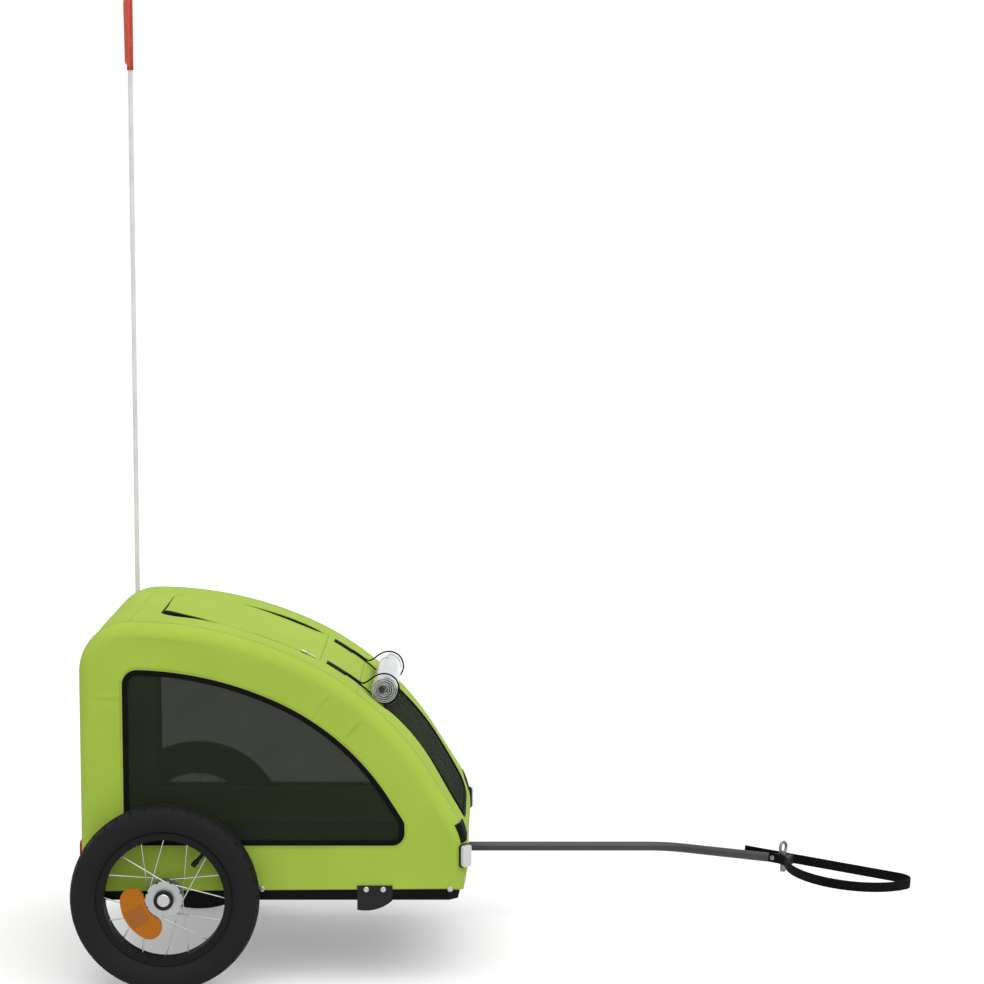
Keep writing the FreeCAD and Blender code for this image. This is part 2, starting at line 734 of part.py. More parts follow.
def make_rain_cover():
    """Rolled clear sheet, its tabs on the roof and an elastic cord from each tab round the roll."""
    stand_off = d.roll_radius + 2 * (d.cord_radius + d.seat_gap)
    centre = shifted(BROW_CENTRE, d.roll_slope, d.brow_radius + stand_off)
    pitch = d.roll_sheet + d.roll_turn_gap

    def spiral(start_radius):
        radius = start_radius
        middle = centre[0]
        arcs = []
        for half in range(int(d.roll_half_turns)):
            start = 180 * half
            arcs.append(arc((middle, centre[1]), radius, start, start + 180, side_on))
            shift = pitch / 2 if half % 2 == 0 else -pitch / 2
            middle = middle - shift
            radius = radius - pitch / 2
        return arcs

    outer = spiral(d.roll_radius)
    inner = spiral(d.roll_radius - d.roll_sheet)
    first = Part.LineSegment(outer[0].Vertexes[0].Point, inner[0].Vertexes[0].Point).toShape()
    last = Part.LineSegment(outer[-1].Vertexes[-1].Point, inner[-1].Vertexes[-1].Point).toShape()
    face = Part.Face(Part.Wire(Part.__sortEdges__(outer + inner + [first, last])))
    face.translate(V(0, -d.roll_length / 2, 0))
    drawn("rain_roll", face.extrude(V(0, d.roll_length, 0)))
    clear = min(inner[turn].distToShape(outer[turn + 2])[0] for turn in range(len(outer) - 2))
    print(f"gap between the turns of the roll: {clear:.2f} mm")

    tabs = []
    cords = []
    for sign in SIDES.values():
        lane = sign * d.tab_spacing / 2
        strip = Part.makeBox(d.tab_length, d.tab_width, d.cabin_top,
                             V(d.tab_rear, lane - d.tab_width / 2, AXLE_Z))
        tabs.append(skin(-d.tab_height, 0, HALF_CABIN).common(strip))
        cords.append(make_cord(centre, lane))
    drawn("roll_tabs", Part.Compound(tabs))
    drawn("roll_cords", Part.Compound(cords))


def make_cord(centre, lane):
    """Elastic cord: straight from its tab to the roll, then over, in front of and under it."""
    ring = d.roll_radius + d.cord_radius + d.seat_gap
    tab_end = d.tab_rear + d.tab_length
    rise = d.cord_radius + d.seat_gap
    fall = math.asin((tab_end - BROW_CENTRE[0]) / d.brow_radius)
    start = shifted(BROW_CENTRE, math.degrees(fall), d.brow_radius + rise)
    across, up = centre[0] - start[0], centre[1] - start[1]
    distance = math.hypot(across, up)
    touch = math.degrees(math.atan2(-up, -across)) - math.degrees(math.acos(ring / distance))
    sweep = 270
    run = arc(centre, ring, touch, touch - sweep, side_on)
    lead = Part.LineSegment(side_on(*start), run.Vertexes[0].Point).toShape()
    path = Part.Wire([lead, run])
    path.translate(V(0, lane, 0))
    return swept(path, d.cord_radius)


def rounded_head(radius, height, seat, way):
    """Low round head of a bolt or rivet, its outer rim rounded."""
    head = Part.makeCylinder(radius, height, seat, way)
    top = seat + way * height
    rim = [edge for edge in head.Edges
           if len(edge.Vertexes) == 1 and (edge.CenterOfMass - top).Length < height / 2]
    return head.makeFillet(height / 2, rim)


def make_brackets():
    """Riveted side brackets with a curved fin, and the bolts of the brackets and the hem."""
    rear, front = d.bracket_rear, d.bracket_rear + d.bracket_length
    bottom = RAIL_BOTTOM - d.bracket_fin
    belly = polar(1, -45)
    fin_middle = side_on(rear + d.bracket_length * belly.x, RAIL_BOTTOM + d.bracket_fin * belly.y)
    edges = [
        Part.LineSegment(side_on(rear, bottom), side_on(rear, d.bracket_top)),
        Part.LineSegment(side_on(rear, d.bracket_top), side_on(front, d.bracket_top)),
        Part.LineSegment(side_on(front, d.bracket_top), side_on(front, RAIL_BOTTOM)),
        Part.Arc(side_on(front, RAIL_BOTTOM), fin_middle, side_on(rear, bottom)),
    ]
    face = Part.Face(Part.Wire([edge.toShape() for edge in edges]))
    brackets = []
    bolts = []
    for sign in SIDES.values():
        plate = face.copy()
        plate.translate(V(0, sign * HALF_CABIN, 0))
        plate = plate.extrude(V(0, sign * d.bracket_thickness, 0))
        out = V(0, sign, 0)
        for along, lift in BOLT_PLACES.items():
            seat = V(value(along), sign * (HALF_CABIN + lift), d.bolt_height)
            shank = Part.makeCylinder(d.bolt_shank_radius, d.bolt_shank_length, seat, out * -1)
            plate = plate.cut(shank)
            head = rounded_head(d.bolt_head_radius, d.bolt_head_height, seat, out)
            bolts.append(head.fuse(shank))
        brackets.append(plate)
    drawn("side_brackets", Part.Compound(brackets))
    drawn("frame_bolts", Part.Compound(bolts))


def make_cabin_reflectors():
    """White reflectors on the rounded front corners and red ones behind, each a lens in a black back."""
    half_turn = math.radians(d.front_reflector_turn)
    corner = HALF_CABIN - d.edge_round
    front_x = NOSE_CENTRE[0] + d.nose_radius - d.edge_round * (1 - math.cos(half_turn))
    lenses = {"front_reflectors": [], "rear_reflectors": []}
    backs = []
    for sign in SIDES.values():
        front = V(front_x, sign * (corner + d.edge_round * math.sin(half_turn)), d.front_reflector_middle)
        rear = V(-d.cabin_rear, sign * d.reflector_spacing / 2, d.reflector_middle)
        front_size = d.front_reflector_width, d.front_reflector_height
        rear_size = d.reflector_width, d.reflector_height
        for label, seat, turn, size in (
                ("front_reflectors", front, sign * d.front_reflector_turn, front_size),
                ("rear_reflectors", rear, 180, rear_size)):

            def plate(start, thickness, shrink):
                width, height = (span - 2 * shrink for span in size)
                block = Part.makeBox(thickness, width, height, V(start, -width / 2, -height / 2))
                ridges = [edge for edge in block.Edges if edge.BoundBox.XLength > d.seat_gap
                          and edge.BoundBox.YLength < d.seat_gap and edge.BoundBox.ZLength < d.seat_gap]
                block = block.makeFillet(width / 4, ridges)
                block.rotate(V(0, 0, 0), V(0, 0, 1), turn)
                block.translate(seat)
                return block

            backs.append(plate(0, d.reflector_back, 0))
            lenses[label].append(plate(d.reflector_back, d.reflector_lens, d.reflector_lip))
    for label, pair in lenses.items():
        drawn(label, Part.Compound(pair))
    drawn("reflector_backs", Part.Compound(backs))


def make_axles():
    """Push-on axles in their sleeves, each bored for the plunger of its release button."""
    collar = f"cabin_width / 2 - cover_thickness + axle_sleeve_reach - {TRACK} / 2"
    hub_in = "-hub_length / 2 - seat_gap"
    head = "hub_length / 2 - seat_gap"
    tip = f"{collar} - axle_insertion"
    bore = "plunger_radius + running_gap"
    top = f"{head} + axle_head_thickness"
    floor = f"{top} - plunger_length - button_travel - seat_gap"
    rods = []
    for side, sign in SIDES.items():
        rod = turned([("0", tip), ("axle_radius", tip), ("axle_radius", collar),
                      ("axle_collar_radius", collar), ("axle_collar_radius", hub_in),
                      ("axle_radius", hub_in), ("axle_radius", head),
                      ("axle_head_radius", head), ("axle_head_radius", top),
                      (bore, top), (bore, floor), ("0", floor)])
        rods.append(place(rod, x=AXLE, y=f"{sign} * {TRACK} / 2", z="wheel_diameter / 2",
                          turn=OUTWARD[side]))
    group("axles", rods)
    face = f"{top} + button_travel + seat_gap"
    for side, sign in SIDES.items():
        button = turned([("0", f"{top} - plunger_length"), ("plunger_radius", f"{top} - plunger_length"),
                         ("plunger_radius", face), ("button_radius", face),
                         ("button_radius", f"{face} + button_thickness - button_edge"),
                         ("button_radius - button_edge", f"{face} + button_thickness"),
                         ("0", f"{face} + button_thickness")])
        place(button, x=AXLE, y=f"{sign} * {TRACK} / 2", z="wheel_diameter / 2", turn=OUTWARD[side])
        named(button, "release_button_" + side)


def tyre_shape():
    """Open carcass turned about Z, with a middle rib and staggered shoulder blocks as its tread."""
    half = d.tyre_width / 2
    crown = AXLE_Z
    wall = d.tyre_wall
    base = d.rim_bed_radius + d.rim_wall + d.seat_gap
    neck = d.rim_width / 2 - d.rim_wall - d.seat_gap
    lip = d.rim_flange_radius + d.seat_gap
    belly = (lip + crown) / 2
    shoulder = crown - 2 * d.tread_depth
    under = (shoulder - d.tread_depth - wall / 2, d.tread_shoulder - wall)

    def ring(radius, along):
        return V(radius, 0, along)

    def curve(*points):
        return Part.Arc(*[ring(*point) for point in points]).toShape()

    def line(start, end):
        return Part.LineSegment(ring(*start), ring(*end)).toShape()

    edges = [
        curve((shoulder, -d.tread_shoulder), (crown, 0), (shoulder, d.tread_shoulder)),
        curve((under[0], -under[1]), (crown - d.tread_depth - wall, 0), under),
    ]
    for sign in (1, -1):
        edges += [
            line((base, sign * neck), (lip, sign * neck)),
            curve((lip, sign * neck), (belly, sign * half), (shoulder, sign * d.tread_shoulder)),
            line((base, sign * (neck - wall)), (lip, sign * (neck - wall))),
            curve((lip, sign * (neck - wall)), (belly, sign * (half - wall)), (under[0], sign * under[1])),
            line((base, sign * (neck - wall)), (base, sign * neck)),
        ]
    face = Part.Face(Part.Wire(Part.__sortEdges__(edges)))
    carcass = face.revolve(V(0, 0, 0), V(0, 0, 1), 360)
    if carcass.Volume < 0:
        carcass.reverse()
    return carcass.cut(Part.Compound(tread_cuts()))


def tread_cuts():
    """Two grooves beside the middle rib, and the gaps between the shoulder blocks."""
    floor = AXLE_Z - d.tread_depth
    inner = d.tread_rib_width / 2
    width = d.tread_groove_width
    fall = math.degrees(math.atan2(2 * d.tread_depth, d.tread_shoulder - inner))
    pitch = 360 / d.tread_block_count
    cuts = []
    for sign in (1, -1):
        start = inner if sign > 0 else -inner - width
        groove = Part.makeCylinder(AXLE_Z + d.cut_overrun, width, V(0, 0, start))
        cuts.append(groove.cut(Part.makeCylinder(floor, width, V(0, 0, start))))
        for index in range(int(d.tread_block_count)):
            gap = Part.makeBox(d.cut_overrun, width, d.cut_overrun, V(0, -width / 2, 0))
            gap.rotate(V(0, 0, 0), V(0, 1, 0), -fall)
            gap.translate(V(floor, 0, inner + width / 2))
            gap = gap if sign > 0 else gap.mirror(V(0, 0, 0), V(0, 0, 1))
            gap.rotate(V(0, 0, 0), V(0, 0, 1), pitch * (index + sign / 4))
            cuts.append(gap)
    return cuts


def to_wheel(shape, side):
    """A shape drawn about Z, set on one wheel with its Z axis pointing out of the trailer."""
    shape.Placement = FreeCAD.Placement(V(0, SIDES[side] * HALF_TRACK, AXLE_Z), OUTWARD[side])
    return shape


def make_wheels():
    """Spoked wheels: grooved tyre, channel rim, crossed spokes, hub, bearings and fittings."""
    at_hub = dict(x=AXLE, z="wheel_diameter / 2")
    for side, sign in SIDES.items():
        at_hub["y"] = f"{sign} * {TRACK} / 2"
        drawn("tyre_" + side, to_wheel(tyre_shape(), side))
        half, lip = "rim_width / 2", "(rim_width / 2 - rim_wall)"
        rim = turned([("rim_bed_radius", "-" + half), ("rim_flange_radius", "-" + half),
                      ("rim_flange_radius", "-" + lip), ("rim_bed_radius + rim_wall", "-" + lip),
                      ("rim_bed_radius + rim_wall", lip), ("rim_flange_radius", lip),
                      ("rim_flange_radius", half), ("rim_bed_radius", half)])
        named(place(rim, turn=OUTWARD[side], **at_hub), "rim_" + side)
        named(make_hub(side, at_hub), "hub_" + side)
        bearings = []
        for start in ("-hub_length / 2", "hub_length / 2 - bearing_width - 2 * seat_gap"):
            ring = turned([("axle_radius + running_gap", start), ("bearing_radius", start),
                           ("bearing_radius", f"{start} + bearing_width"),
                           ("axle_radius + running_gap", f"{start} + bearing_width")])
            bearings.append(place(ring, turn=OUTWARD[side], **at_hub))
        group("bearings_" + side, bearings)
        bore = "button_radius + 2 * seat_gap"
        ring = turned([(bore, "hub_length / 2"), ("dust_ring_radius", "hub_length / 2"),
                       ("dust_ring_radius", "hub_length / 2 + dust_ring_width"),
                       (bore, "hub_length / 2 + dust_ring_width")])
        named(place(ring, turn=OUTWARD[side], **at_hub), "dust_ring_" + side)
        drawn("spokes_" + side, to_wheel(Part.Compound(spoke_bars()), side))
        drawn("wheel_reflector_" + side, to_wheel(wheel_reflector(), side))
        drawn("valve_" + side, to_wheel(valve(), side))


def make_hub(side, at_hub):
    """Hub shell with two scalloped spoke flanges, bored for its bearings."""
    end = "hub_length / 2"
    flange = "(hub_length / 2 - hub_flange_inset)"
    web = "(hub_length / 2 - hub_flange_inset - hub_flange_thickness)"
    bore = "axle_radius + 1.5 * seat_gap"
    shell = turned([(bore, "-" + end), ("hub_barrel_radius", "-" + end),
                    ("hub_barrel_radius", "-" + flange), ("hub_flange_radius", "-" + flange),
                    ("hub_flange_radius", "-" + web), ("hub_barrel_radius", "-" + web),
                    ("hub_barrel_radius", web), ("hub_flange_radius", web),
                    ("hub_flange_radius", flange), ("hub_barrel_radius", flange),
                    ("hub_barrel_radius", end), (bore, end)])
    place(shell, turn=OUTWARD[side], **at_hub)

    def drill(radius, length, start, **at):
        y = f"{at_hub['y']} + {SIDES[side]} * ({start})"
        return cylinder(radius, length, OUTWARD[side], **{**at_hub, **at, "y": y})

    tools = [drill("bearing_radius", "bearing_width", "-" + end),
             drill("bearing_radius", "bearing_width + cut_overrun",
                   f"{end} - bearing_width - 2 * seat_gap")]
    for index in range(int(d.scallop_count)):
        spot = polar(1, 360 / d.scallop_count * (index + 0.5))
        tools.append(drill("hub_scallop_radius", "hub_length", "-" + end,
                           x=f"{AXLE} + hub_flange_radius * {spot.x:.6f}",
                           z=f"wheel_diameter / 2 + hub_flange_radius * {spot.y:.6f}"))
    return cut(shell, *tools)


def spoke_bars(grow=0):
    """Crossed spokes, thickened by grow: each leans on or back from its hub flange, by turns."""
    flange = d.hub_length / 2 - d.hub_flange_inset
    web = flange - d.hub_flange_thickness
    radius = d.spoke_diameter / 2
    head = {True: web - radius - d.seat_gap, False: flange + radius + 2 * d.seat_gap}
    rim = d.rim_bed_radius - d.spoke_end_gap
    step = 360 / d.spoke_count
    bars = []
    for index in range(int(d.spoke_count)):
        turn = index * step
        out = 1 if index % 2 == 0 else -1
        inside = (index // 2) % 2 == 0
        lean = d.spoke_lean if inside else -d.spoke_lean
        start = polar(d.spoke_head_radius, turn + lean, out * head[inside])
        end = polar(rim, turn, out * radius)
        bars.append(Part.makeCylinder(radius + grow, (end - start).Length, start, end - start))
    return bars


def wheel_reflector():
    """Bean-shaped reflector bent round the hub, with a raised plate, threaded by the spokes."""
    across = d.wheel_reflector_height
    mean = d.wheel_reflector_distance
    half_turn = math.degrees((d.wheel_reflector_length - across) / 2 / mean)
    middle = d.wheel_reflector_turn
    low, high = middle - half_turn, middle + half_turn

    def flat(x, y):
        return V(x, y, 0)

    def cap(turn, start):
        centre = polar(mean, turn)
        return arc((centre.x, centre.y), across / 2, start, start + 180, flat)

    edges = [arc((0, 0), mean + across / 2, low, high, flat), cap(high, high),
             arc((0, 0), mean - across / 2, high, low, flat), cap(low, low + 180)]
    face = Part.Face(Part.Wire(edges))
    body = face.extrude(V(0, 0, d.wheel_reflector_thickness))
    plate = Part.makeBox(across * 0.72, d.wheel_reflector_plate_length, d.wheel_reflector_rib,
                         V(mean - across * 0.36, -d.wheel_reflector_plate_length / 2, 0))
    plate.translate(V(0, 0, d.wheel_reflector_thickness))
    plate.rotate(V(0, 0, 0), V(0, 0, 1), middle)
    body = body.fuse(plate)
    body.translate(V(0, 0, d.wheel_reflector_plane))
    return body.cut(Part.Compound(spoke_bars(d.seat_gap)))


def valve():
    """Valve stem and its cap, pointing from the rim to the hub."""
    way = polar(-1, d.valve_turn)
    start = polar(d.rim_bed_radius - d.seat_gap, d.valve_turn)
    stem = Part.makeCylinder(d.valve_radius, d.valve_length, start, way)
    cap = Part.makeCylinder(d.valve_cap_radius, d.valve_cap_length,
                            start + way * (d.valve_length - d.valve_cap_length / 2), way)
    return stem.fuse(cap)


# Drawbar line, seen from above: straight under the left rail, then bent towards the middle
DRAWBAR_Z = AXLE_Z - d.drawbar_drop
DRAWBAR_Y = (RAIL_INNER + RAIL_OUTER) / 2
ARM_WAY = V(math.cos(math.radians(d.drawbar_bend)), -math.sin(math.radians(d.drawbar_bend)), 0)

# Safety strap, seen along its own width: the near strand flares off the bar and swells out to the
# tip as tangent arcs, the far strand runs straight back along the bar
STRAP_SIDE = d.drawbar_diameter / 2
FLARE_CENTRE = (-d.strap_start, -STRAP_SIDE - d.strap_flare_radius)
SWELL_Y = d.strap_swell_radius - d.strap_bulge
SWELL_CENTRE = (FLARE_CENTRE[0] + math.sqrt((d.strap_swell_radius + d.strap_flare_radius) ** 2
                                            - (SWELL_Y - FLARE_CENTRE[1]) ** 2), SWELL_Y)
TIP_Y = STRAP_SIDE - d.strap_tip_radius
TIP_CENTRE = (SWELL_CENTRE[0] + math.sqrt((d.strap_swell_radius - d.strap_tip_radius) ** 2
                                          - (SWELL_Y - TIP_Y) ** 2), TIP_Y)
FLARE = math.degrees(math.atan2(SWELL_Y - FLARE_CENTRE[1], SWELL_CENTRE[0] - FLARE_CENTRE[0]))
CLOSE = math.degrees(math.atan2(SWELL_Y - TIP_Y, TIP_CENTRE[0] - SWELL_CENTRE[0]))


def strap_front():
    """How far forward of the drawbar's end the drooping strap reaches."""
    bend, droop = math.radians(d.drawbar_bend), math.radians(d.strap_droop)
    ahead = math.cos(bend) * math.cos(droop)
    tip = d.strap_tip_radius + d.strap_thickness
    edge = d.strap_width / 2 * math.cos(bend) * math.sin(droop)
    aside = math.sin(bend)
    return TIP_CENTRE[0] * ahead + TIP_CENTRE[1] * aside + tip * math.hypot(ahead, aside) + edge


# The drawbar is as long as it takes for the strap to end the part at its overall length
ARM_END_X = d.overall_length - d.wheel_diameter / 2 - strap_front()
BEND_RISE = math.cos(math.radians(d.drawbar_bend))
BEND_CENTRE = (ARM_END_X - d.drawbar_arm * ARM_WAY.x + d.drawbar_bend_radius * ARM_WAY.y,
               DRAWBAR_Y - d.drawbar_bend_radius)
BEND_END = (ARM_END_X - d.drawbar_arm * ARM_WAY.x, BEND_CENTRE[1] + d.drawbar_bend_radius * BEND_RISE)
ARM_END = V(*BEND_END, DRAWBAR_Z) + ARM_WAY * d.drawbar_arm
PIN_FOOT = ARM_END - ARM_WAY * d.pin_from_end


def make_drawbar():
    """Bent tow tube with its end cap, drilled across for the hitch pin."""
    def above(x, y):
        return V(x, y, DRAWBAR_Z)

    start = above(d.drawbar_rear, DRAWBAR_Y)
    path = Part.Wire([
        Part.LineSegment(start, above(BEND_CENTRE[0], DRAWBAR_Y)).toShape(),
        arc(BEND_CENTRE, d.drawbar_bend_radius, 90, 90 - d.drawbar_bend, above),
        Part.LineSegment(above(*BEND_END), ARM_END).toShape(),
    ])
    radius = d.drawbar_diameter / 2
    bar = swept(path, radius).cut(swept(path, radius - d.drawbar_wall))
    drill = Part.makeCylinder(d.pin_shank_radius + d.running_gap, 2 * d.drawbar_diameter,
                              PIN_FOOT - V(0, 0, d.drawbar_diameter), V(0, 0, 1))
    drawn("drawbar_tube", bar.cut(drill))
    plug = Part.makeCylinder(radius - d.drawbar_wall - d.running_gap, d.end_cap_depth / 2, ARM_END,
                             ARM_WAY * -1)
    disc = Part.makeCylinder(radius, d.end_cap_thickness, ARM_END, ARM_WAY)
    rim = [edge for edge in disc.Edges
           if len(edge.Vertexes) == 1
           and (edge.CenterOfMass - ARM_END).Length > d.end_cap_thickness / 2]
    drawn("drawbar_cap", disc.makeFillet(d.end_cap_thickness * 0.6, rim).fuse(plug))


def make_socket():
    """Drawbar socket hung under the left rail by a saddle, and its clamp screw with two wings."""
    bore = d.drawbar_diameter / 2 + d.running_gap
    outer = bore + d.socket_tube_wall
    start = V(d.socket_rear, DRAWBAR_Y, DRAWBAR_Z)
    body = Part.makeCylinder(outer, d.socket_length, start, V(1, 0, 0))
    saddle_start = d.socket_rear + (d.socket_length - d.socket_saddle_length) / 2
    saddle = Part.makeBox(d.socket_saddle_length, d.rail_width, RAIL_BOTTOM - DRAWBAR_Z,
                          V(saddle_start, RAIL_INNER, DRAWBAR_Z))
    screw_x = d.socket_rear + d.socket_length - d.screw_from_front
    down = V(0, 0, -1)
    boss_bottom = DRAWBAR_Z - outer - d.screw_boss_height
    boss = Part.makeCylinder(d.screw_boss_radius, outer + d.screw_boss_height,
                             V(screw_x, DRAWBAR_Y, DRAWBAR_Z), down)
    body = body.fuse(saddle).fuse(boss)
    body = body.cut(Part.makeCylinder(bore, d.socket_length, start, V(1, 0, 0)))
    drill_top = V(screw_x, DRAWBAR_Y, DRAWBAR_Z)
    drill = Part.makeCylinder(d.screw_radius + d.running_gap, 2 * d.cut_overrun, drill_top, down)
    drawn("drawbar_socket", body.cut(drill))
    tip = V(screw_x, DRAWBAR_Y, DRAWBAR_Z - d.drawbar_diameter / 2 - d.seat_gap)
    neck = V(screw_x, DRAWBAR_Y, boss_bottom - d.seat_gap)
    shank = Part.makeCylinder(d.screw_radius, tip.z - neck.z + d.wing_thickness, tip, down)
    collar = Part.makeCylinder(d.screw_boss_radius, d.wing_thickness, neck, down)
    wings = Part.makeBox(d.wing_span, d.wing_thickness, d.wing_height,
                         V(screw_x - d.wing_span / 2, DRAWBAR_Y - d.wing_thickness / 2,
                           neck.z - d.wing_height))
    corners = [edge for edge in wings.Edges
               if edge.BoundBox.YLength > d.seat_gap and edge.CenterOfMass.z < neck.z - d.seat_gap]
    wings = wings.makeFillet(d.wing_height * 0.6, corners)
    drawn("clamp_screw", shank.fuse(collar).fuse(wings))


def make_hitch():
    """Hitch pin with a ring head, and the safety strap looped past the end of the drawbar."""
    top = DRAWBAR_Z + d.drawbar_diameter / 2
    bottom = DRAWBAR_Z - d.drawbar_diameter / 2 - d.pin_reach
    foot = V(PIN_FOOT.x, PIN_FOOT.y, bottom)
    up = V(0, 0, 1)
    step = V(foot.x, foot.y, DRAWBAR_Z - d.drawbar_diameter / 2 - d.pin_step)
    pin = Part.makeCylinder(d.pin_radius, step.z - bottom, foot, up)
    tip = [edge for edge in pin.Edges
           if len(edge.Vertexes) == 1 and edge.CenterOfMass.z < bottom + d.pin_tip]
    pin = pin.makeChamfer(d.pin_tip, tip)
    shank = Part.makeCylinder(d.pin_shank_radius, top - step.z, step, up)
    seat = V(foot.x, foot.y, top)
    shoulder = Part.makeCylinder(d.pin_shoulder_radius, d.pin_shoulder_height, seat, up)
    ring_way = V(math.sin(math.radians(d.ring_turn)), -math.cos(math.radians(d.ring_turn)), 0)
    ring_middle = seat + up * (d.pin_shoulder_height + d.ring_radius)
    ring = Part.makeTorus(d.ring_radius, d.ring_wire_radius, ring_middle, ring_way)
    drawn("hitch_pin", pin.fuse(shank).fuse(shoulder).fuse(ring))

    def flat(x, y):
        return V(x, y, 0)

    def strand(grow):
        side = STRAP_SIDE + grow
        lap_end = flat(-d.strap_start - d.strap_near_lap, -side)
        return [
            Part.LineSegment(lap_end, flat(-d.strap_start, -side)).toShape(),
            arc(FLARE_CENTRE, d.strap_flare_radius - grow, 90, FLARE, flat),
            arc(SWELL_CENTRE, d.strap_swell_radius + grow, FLARE - 180, -CLOSE, flat),
            arc(TIP_CENTRE, d.strap_tip_radius + grow, -CLOSE, 90, flat),
            Part.LineSegment(flat(TIP_CENTRE[0], side), flat(-d.strap_far_lap, side)).toShape(),
        ]

    inner, outer = strand(0), strand(d.strap_thickness)
    caps = [Part.LineSegment(inner[end].Vertexes[end].Point, outer[end].Vertexes[end].Point).toShape()
            for end in (0, -1)]
    face = Part.Face(Part.Wire(Part.__sortEdges__(inner + outer + caps)))
    face.translate(V(0, 0, -d.strap_width / 2))
    drawn("safety_strap", to_arm(face.extrude(V(0, 0, d.strap_width))))
    heads = [rounded_head(d.rivet_head_radius, d.rivet_head_height,
                          V(-d.rivet_from_end, sign * (STRAP_SIDE + d.strap_thickness), 0), V(0, sign, 0))
             for sign in SIDES.values()]
    drawn("strap_rivets", Part.Compound([to_arm(head) for head in heads]))


def to_arm(shape):
    """A shape drawn along X from the drawbar's end, drooped and turned to lie along the bent arm."""
    shape.rotate(V(0, 0, 0), V(0, 1, 0), d.strap_droop)
    shape.rotate(V(0, 0, 0), V(0, 0, 1), -d.drawbar_bend)
    shape.translate(ARM_END)
    return shape


def make_flag():
    """Flag pole standing in its sleeve on the cabin's left side, with a slack pennant."""
    pole = "pole_diameter / 2"
    bore = f"{pole} + running_gap"
    outer = f"{pole} + flag_sleeve_wall"
    at = dict(x=f"{AXLE} - pole_back", y=f"cabin_width / 2 + seat_gap + {outer}")
    base = cylinder(outer, "flag_sleeve_height", z="flag_sleeve_bottom", **at)
    hole = cylinder(bore, "flag_sleeve_height", z="flag_sleeve_bottom + flag_sleeve_floor", **at)
    named(cut(base, hole), "flag_sleeve")
    foot = "(flag_sleeve_bottom + flag_sleeve_floor)"
    named(cylinder(pole, f"pole_top - {foot}", z=foot, **at), "flag_pole")

    middle = V(-d.pole_back, HALF_CABIN + d.seat_gap + d.pole_diameter / 2 + d.flag_sleeve_wall, 0)
    grip = d.pole_diameter / 2 + d.running_gap
    start = middle.y - grip
    cloth_start = start - d.pennant_hem / 2
    tip = cloth_start - d.pennant_length

    def face_line(side):
        shift = middle.x + side * d.pennant_thickness / 2
        crest = V(shift - d.pennant_wave, (cloth_start + tip) / 2, 0)
        return Part.Arc(V(shift, cloth_start, 0), crest, V(shift, tip, 0)).toShape()

    near, far = face_line(1), face_line(-1)
    ends = [Part.LineSegment(near.Vertexes[end].Point, far.Vertexes[end].Point).toShape()
            for end in (0, -1)]
    face = Part.Face(Part.Wire(Part.__sortEdges__([near, far] + ends)))
    face.translate(V(0, 0, d.pennant_bottom - d.pennant_sag))
    cloth = face.extrude(V(0, 0, d.pennant_height + d.pennant_sag))
    corners = [V(0, start, d.pennant_bottom), V(0, start, d.pennant_bottom + d.pennant_height),
               V(0, tip - d.cut_overrun, d.pennant_bottom + d.pennant_height / 2 - d.pennant_sag)]
    wedge = Part.Face(Part.makePolygon(corners + corners[:1]))
    wedge.translate(V(middle.x - d.cut_overrun, 0, 0))
    cloth = cloth.common(wedge.extrude(V(2 * d.cut_overrun, 0, 0)))
    cloth.rotate(middle, V(0, 0, 1), d.pennant_turn)
    seat = middle + V(0, 0, d.pennant_bottom)
    hem = Part.makeCylinder(grip + d.pennant_hem, d.pennant_height, seat)
    hole = Part.makeCylinder(grip, d.pennant_height, seat)
    drawn("pennant", cloth.fuse(hem).cut(hole))


make_base()
make_cabin_frame()
make_cover()
make_hatch()
make_door()
make_rain_cover()
make_brackets()
make_cabin_reflectors()
make_axles()
make_wheels()
make_drawbar()
make_socket()
make_hitch()
make_flag()
doc.recompute()

faults = [item.Label for item in doc.Objects if {"Invalid", "Error"} & set(item.State)]
faults += [item.Label for item in nodes if item.Shape.isNull() or not item.Shape.isValid()]
if faults:
    raise RuntimeError("faulty sub-parts: " + ", ".join(faults))
os.makedirs("parts", exist_ok=True)
for item in nodes:
    item.Shape.exportStep(os.path.join("parts", item.Label + ".step"))
print(len(nodes), "sub-parts written")
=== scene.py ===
"""Looks of a two-wheeled dog trailer: sewn canvas cabin, mesh windows, rolled rain film and tow gear.

X runs forward, Y to the trailer's left and Z up, in metres. Cloth pieces are worked out here as
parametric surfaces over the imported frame, and rigid pieces of the frame get their finishes.
"""

import logging
import math
from dataclasses import dataclass
from enum import Enum
from typing import Callable, Sequence

import bpy
import numpy as np
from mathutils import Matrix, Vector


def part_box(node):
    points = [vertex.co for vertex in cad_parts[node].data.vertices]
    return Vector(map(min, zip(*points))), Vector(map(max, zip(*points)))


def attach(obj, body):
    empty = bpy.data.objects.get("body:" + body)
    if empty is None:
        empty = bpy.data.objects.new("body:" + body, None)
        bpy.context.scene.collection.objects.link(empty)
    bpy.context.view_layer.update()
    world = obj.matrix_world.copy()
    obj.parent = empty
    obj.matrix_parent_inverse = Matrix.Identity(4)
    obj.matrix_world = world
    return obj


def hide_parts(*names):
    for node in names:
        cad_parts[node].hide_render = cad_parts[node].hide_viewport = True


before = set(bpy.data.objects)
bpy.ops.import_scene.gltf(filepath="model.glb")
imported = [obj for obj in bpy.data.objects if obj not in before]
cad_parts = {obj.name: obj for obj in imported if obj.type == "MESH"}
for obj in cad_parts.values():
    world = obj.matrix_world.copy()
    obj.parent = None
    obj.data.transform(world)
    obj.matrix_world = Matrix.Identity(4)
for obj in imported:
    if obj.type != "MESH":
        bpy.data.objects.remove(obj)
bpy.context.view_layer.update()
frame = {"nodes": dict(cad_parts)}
LOG = logging.getLogger("trailer")
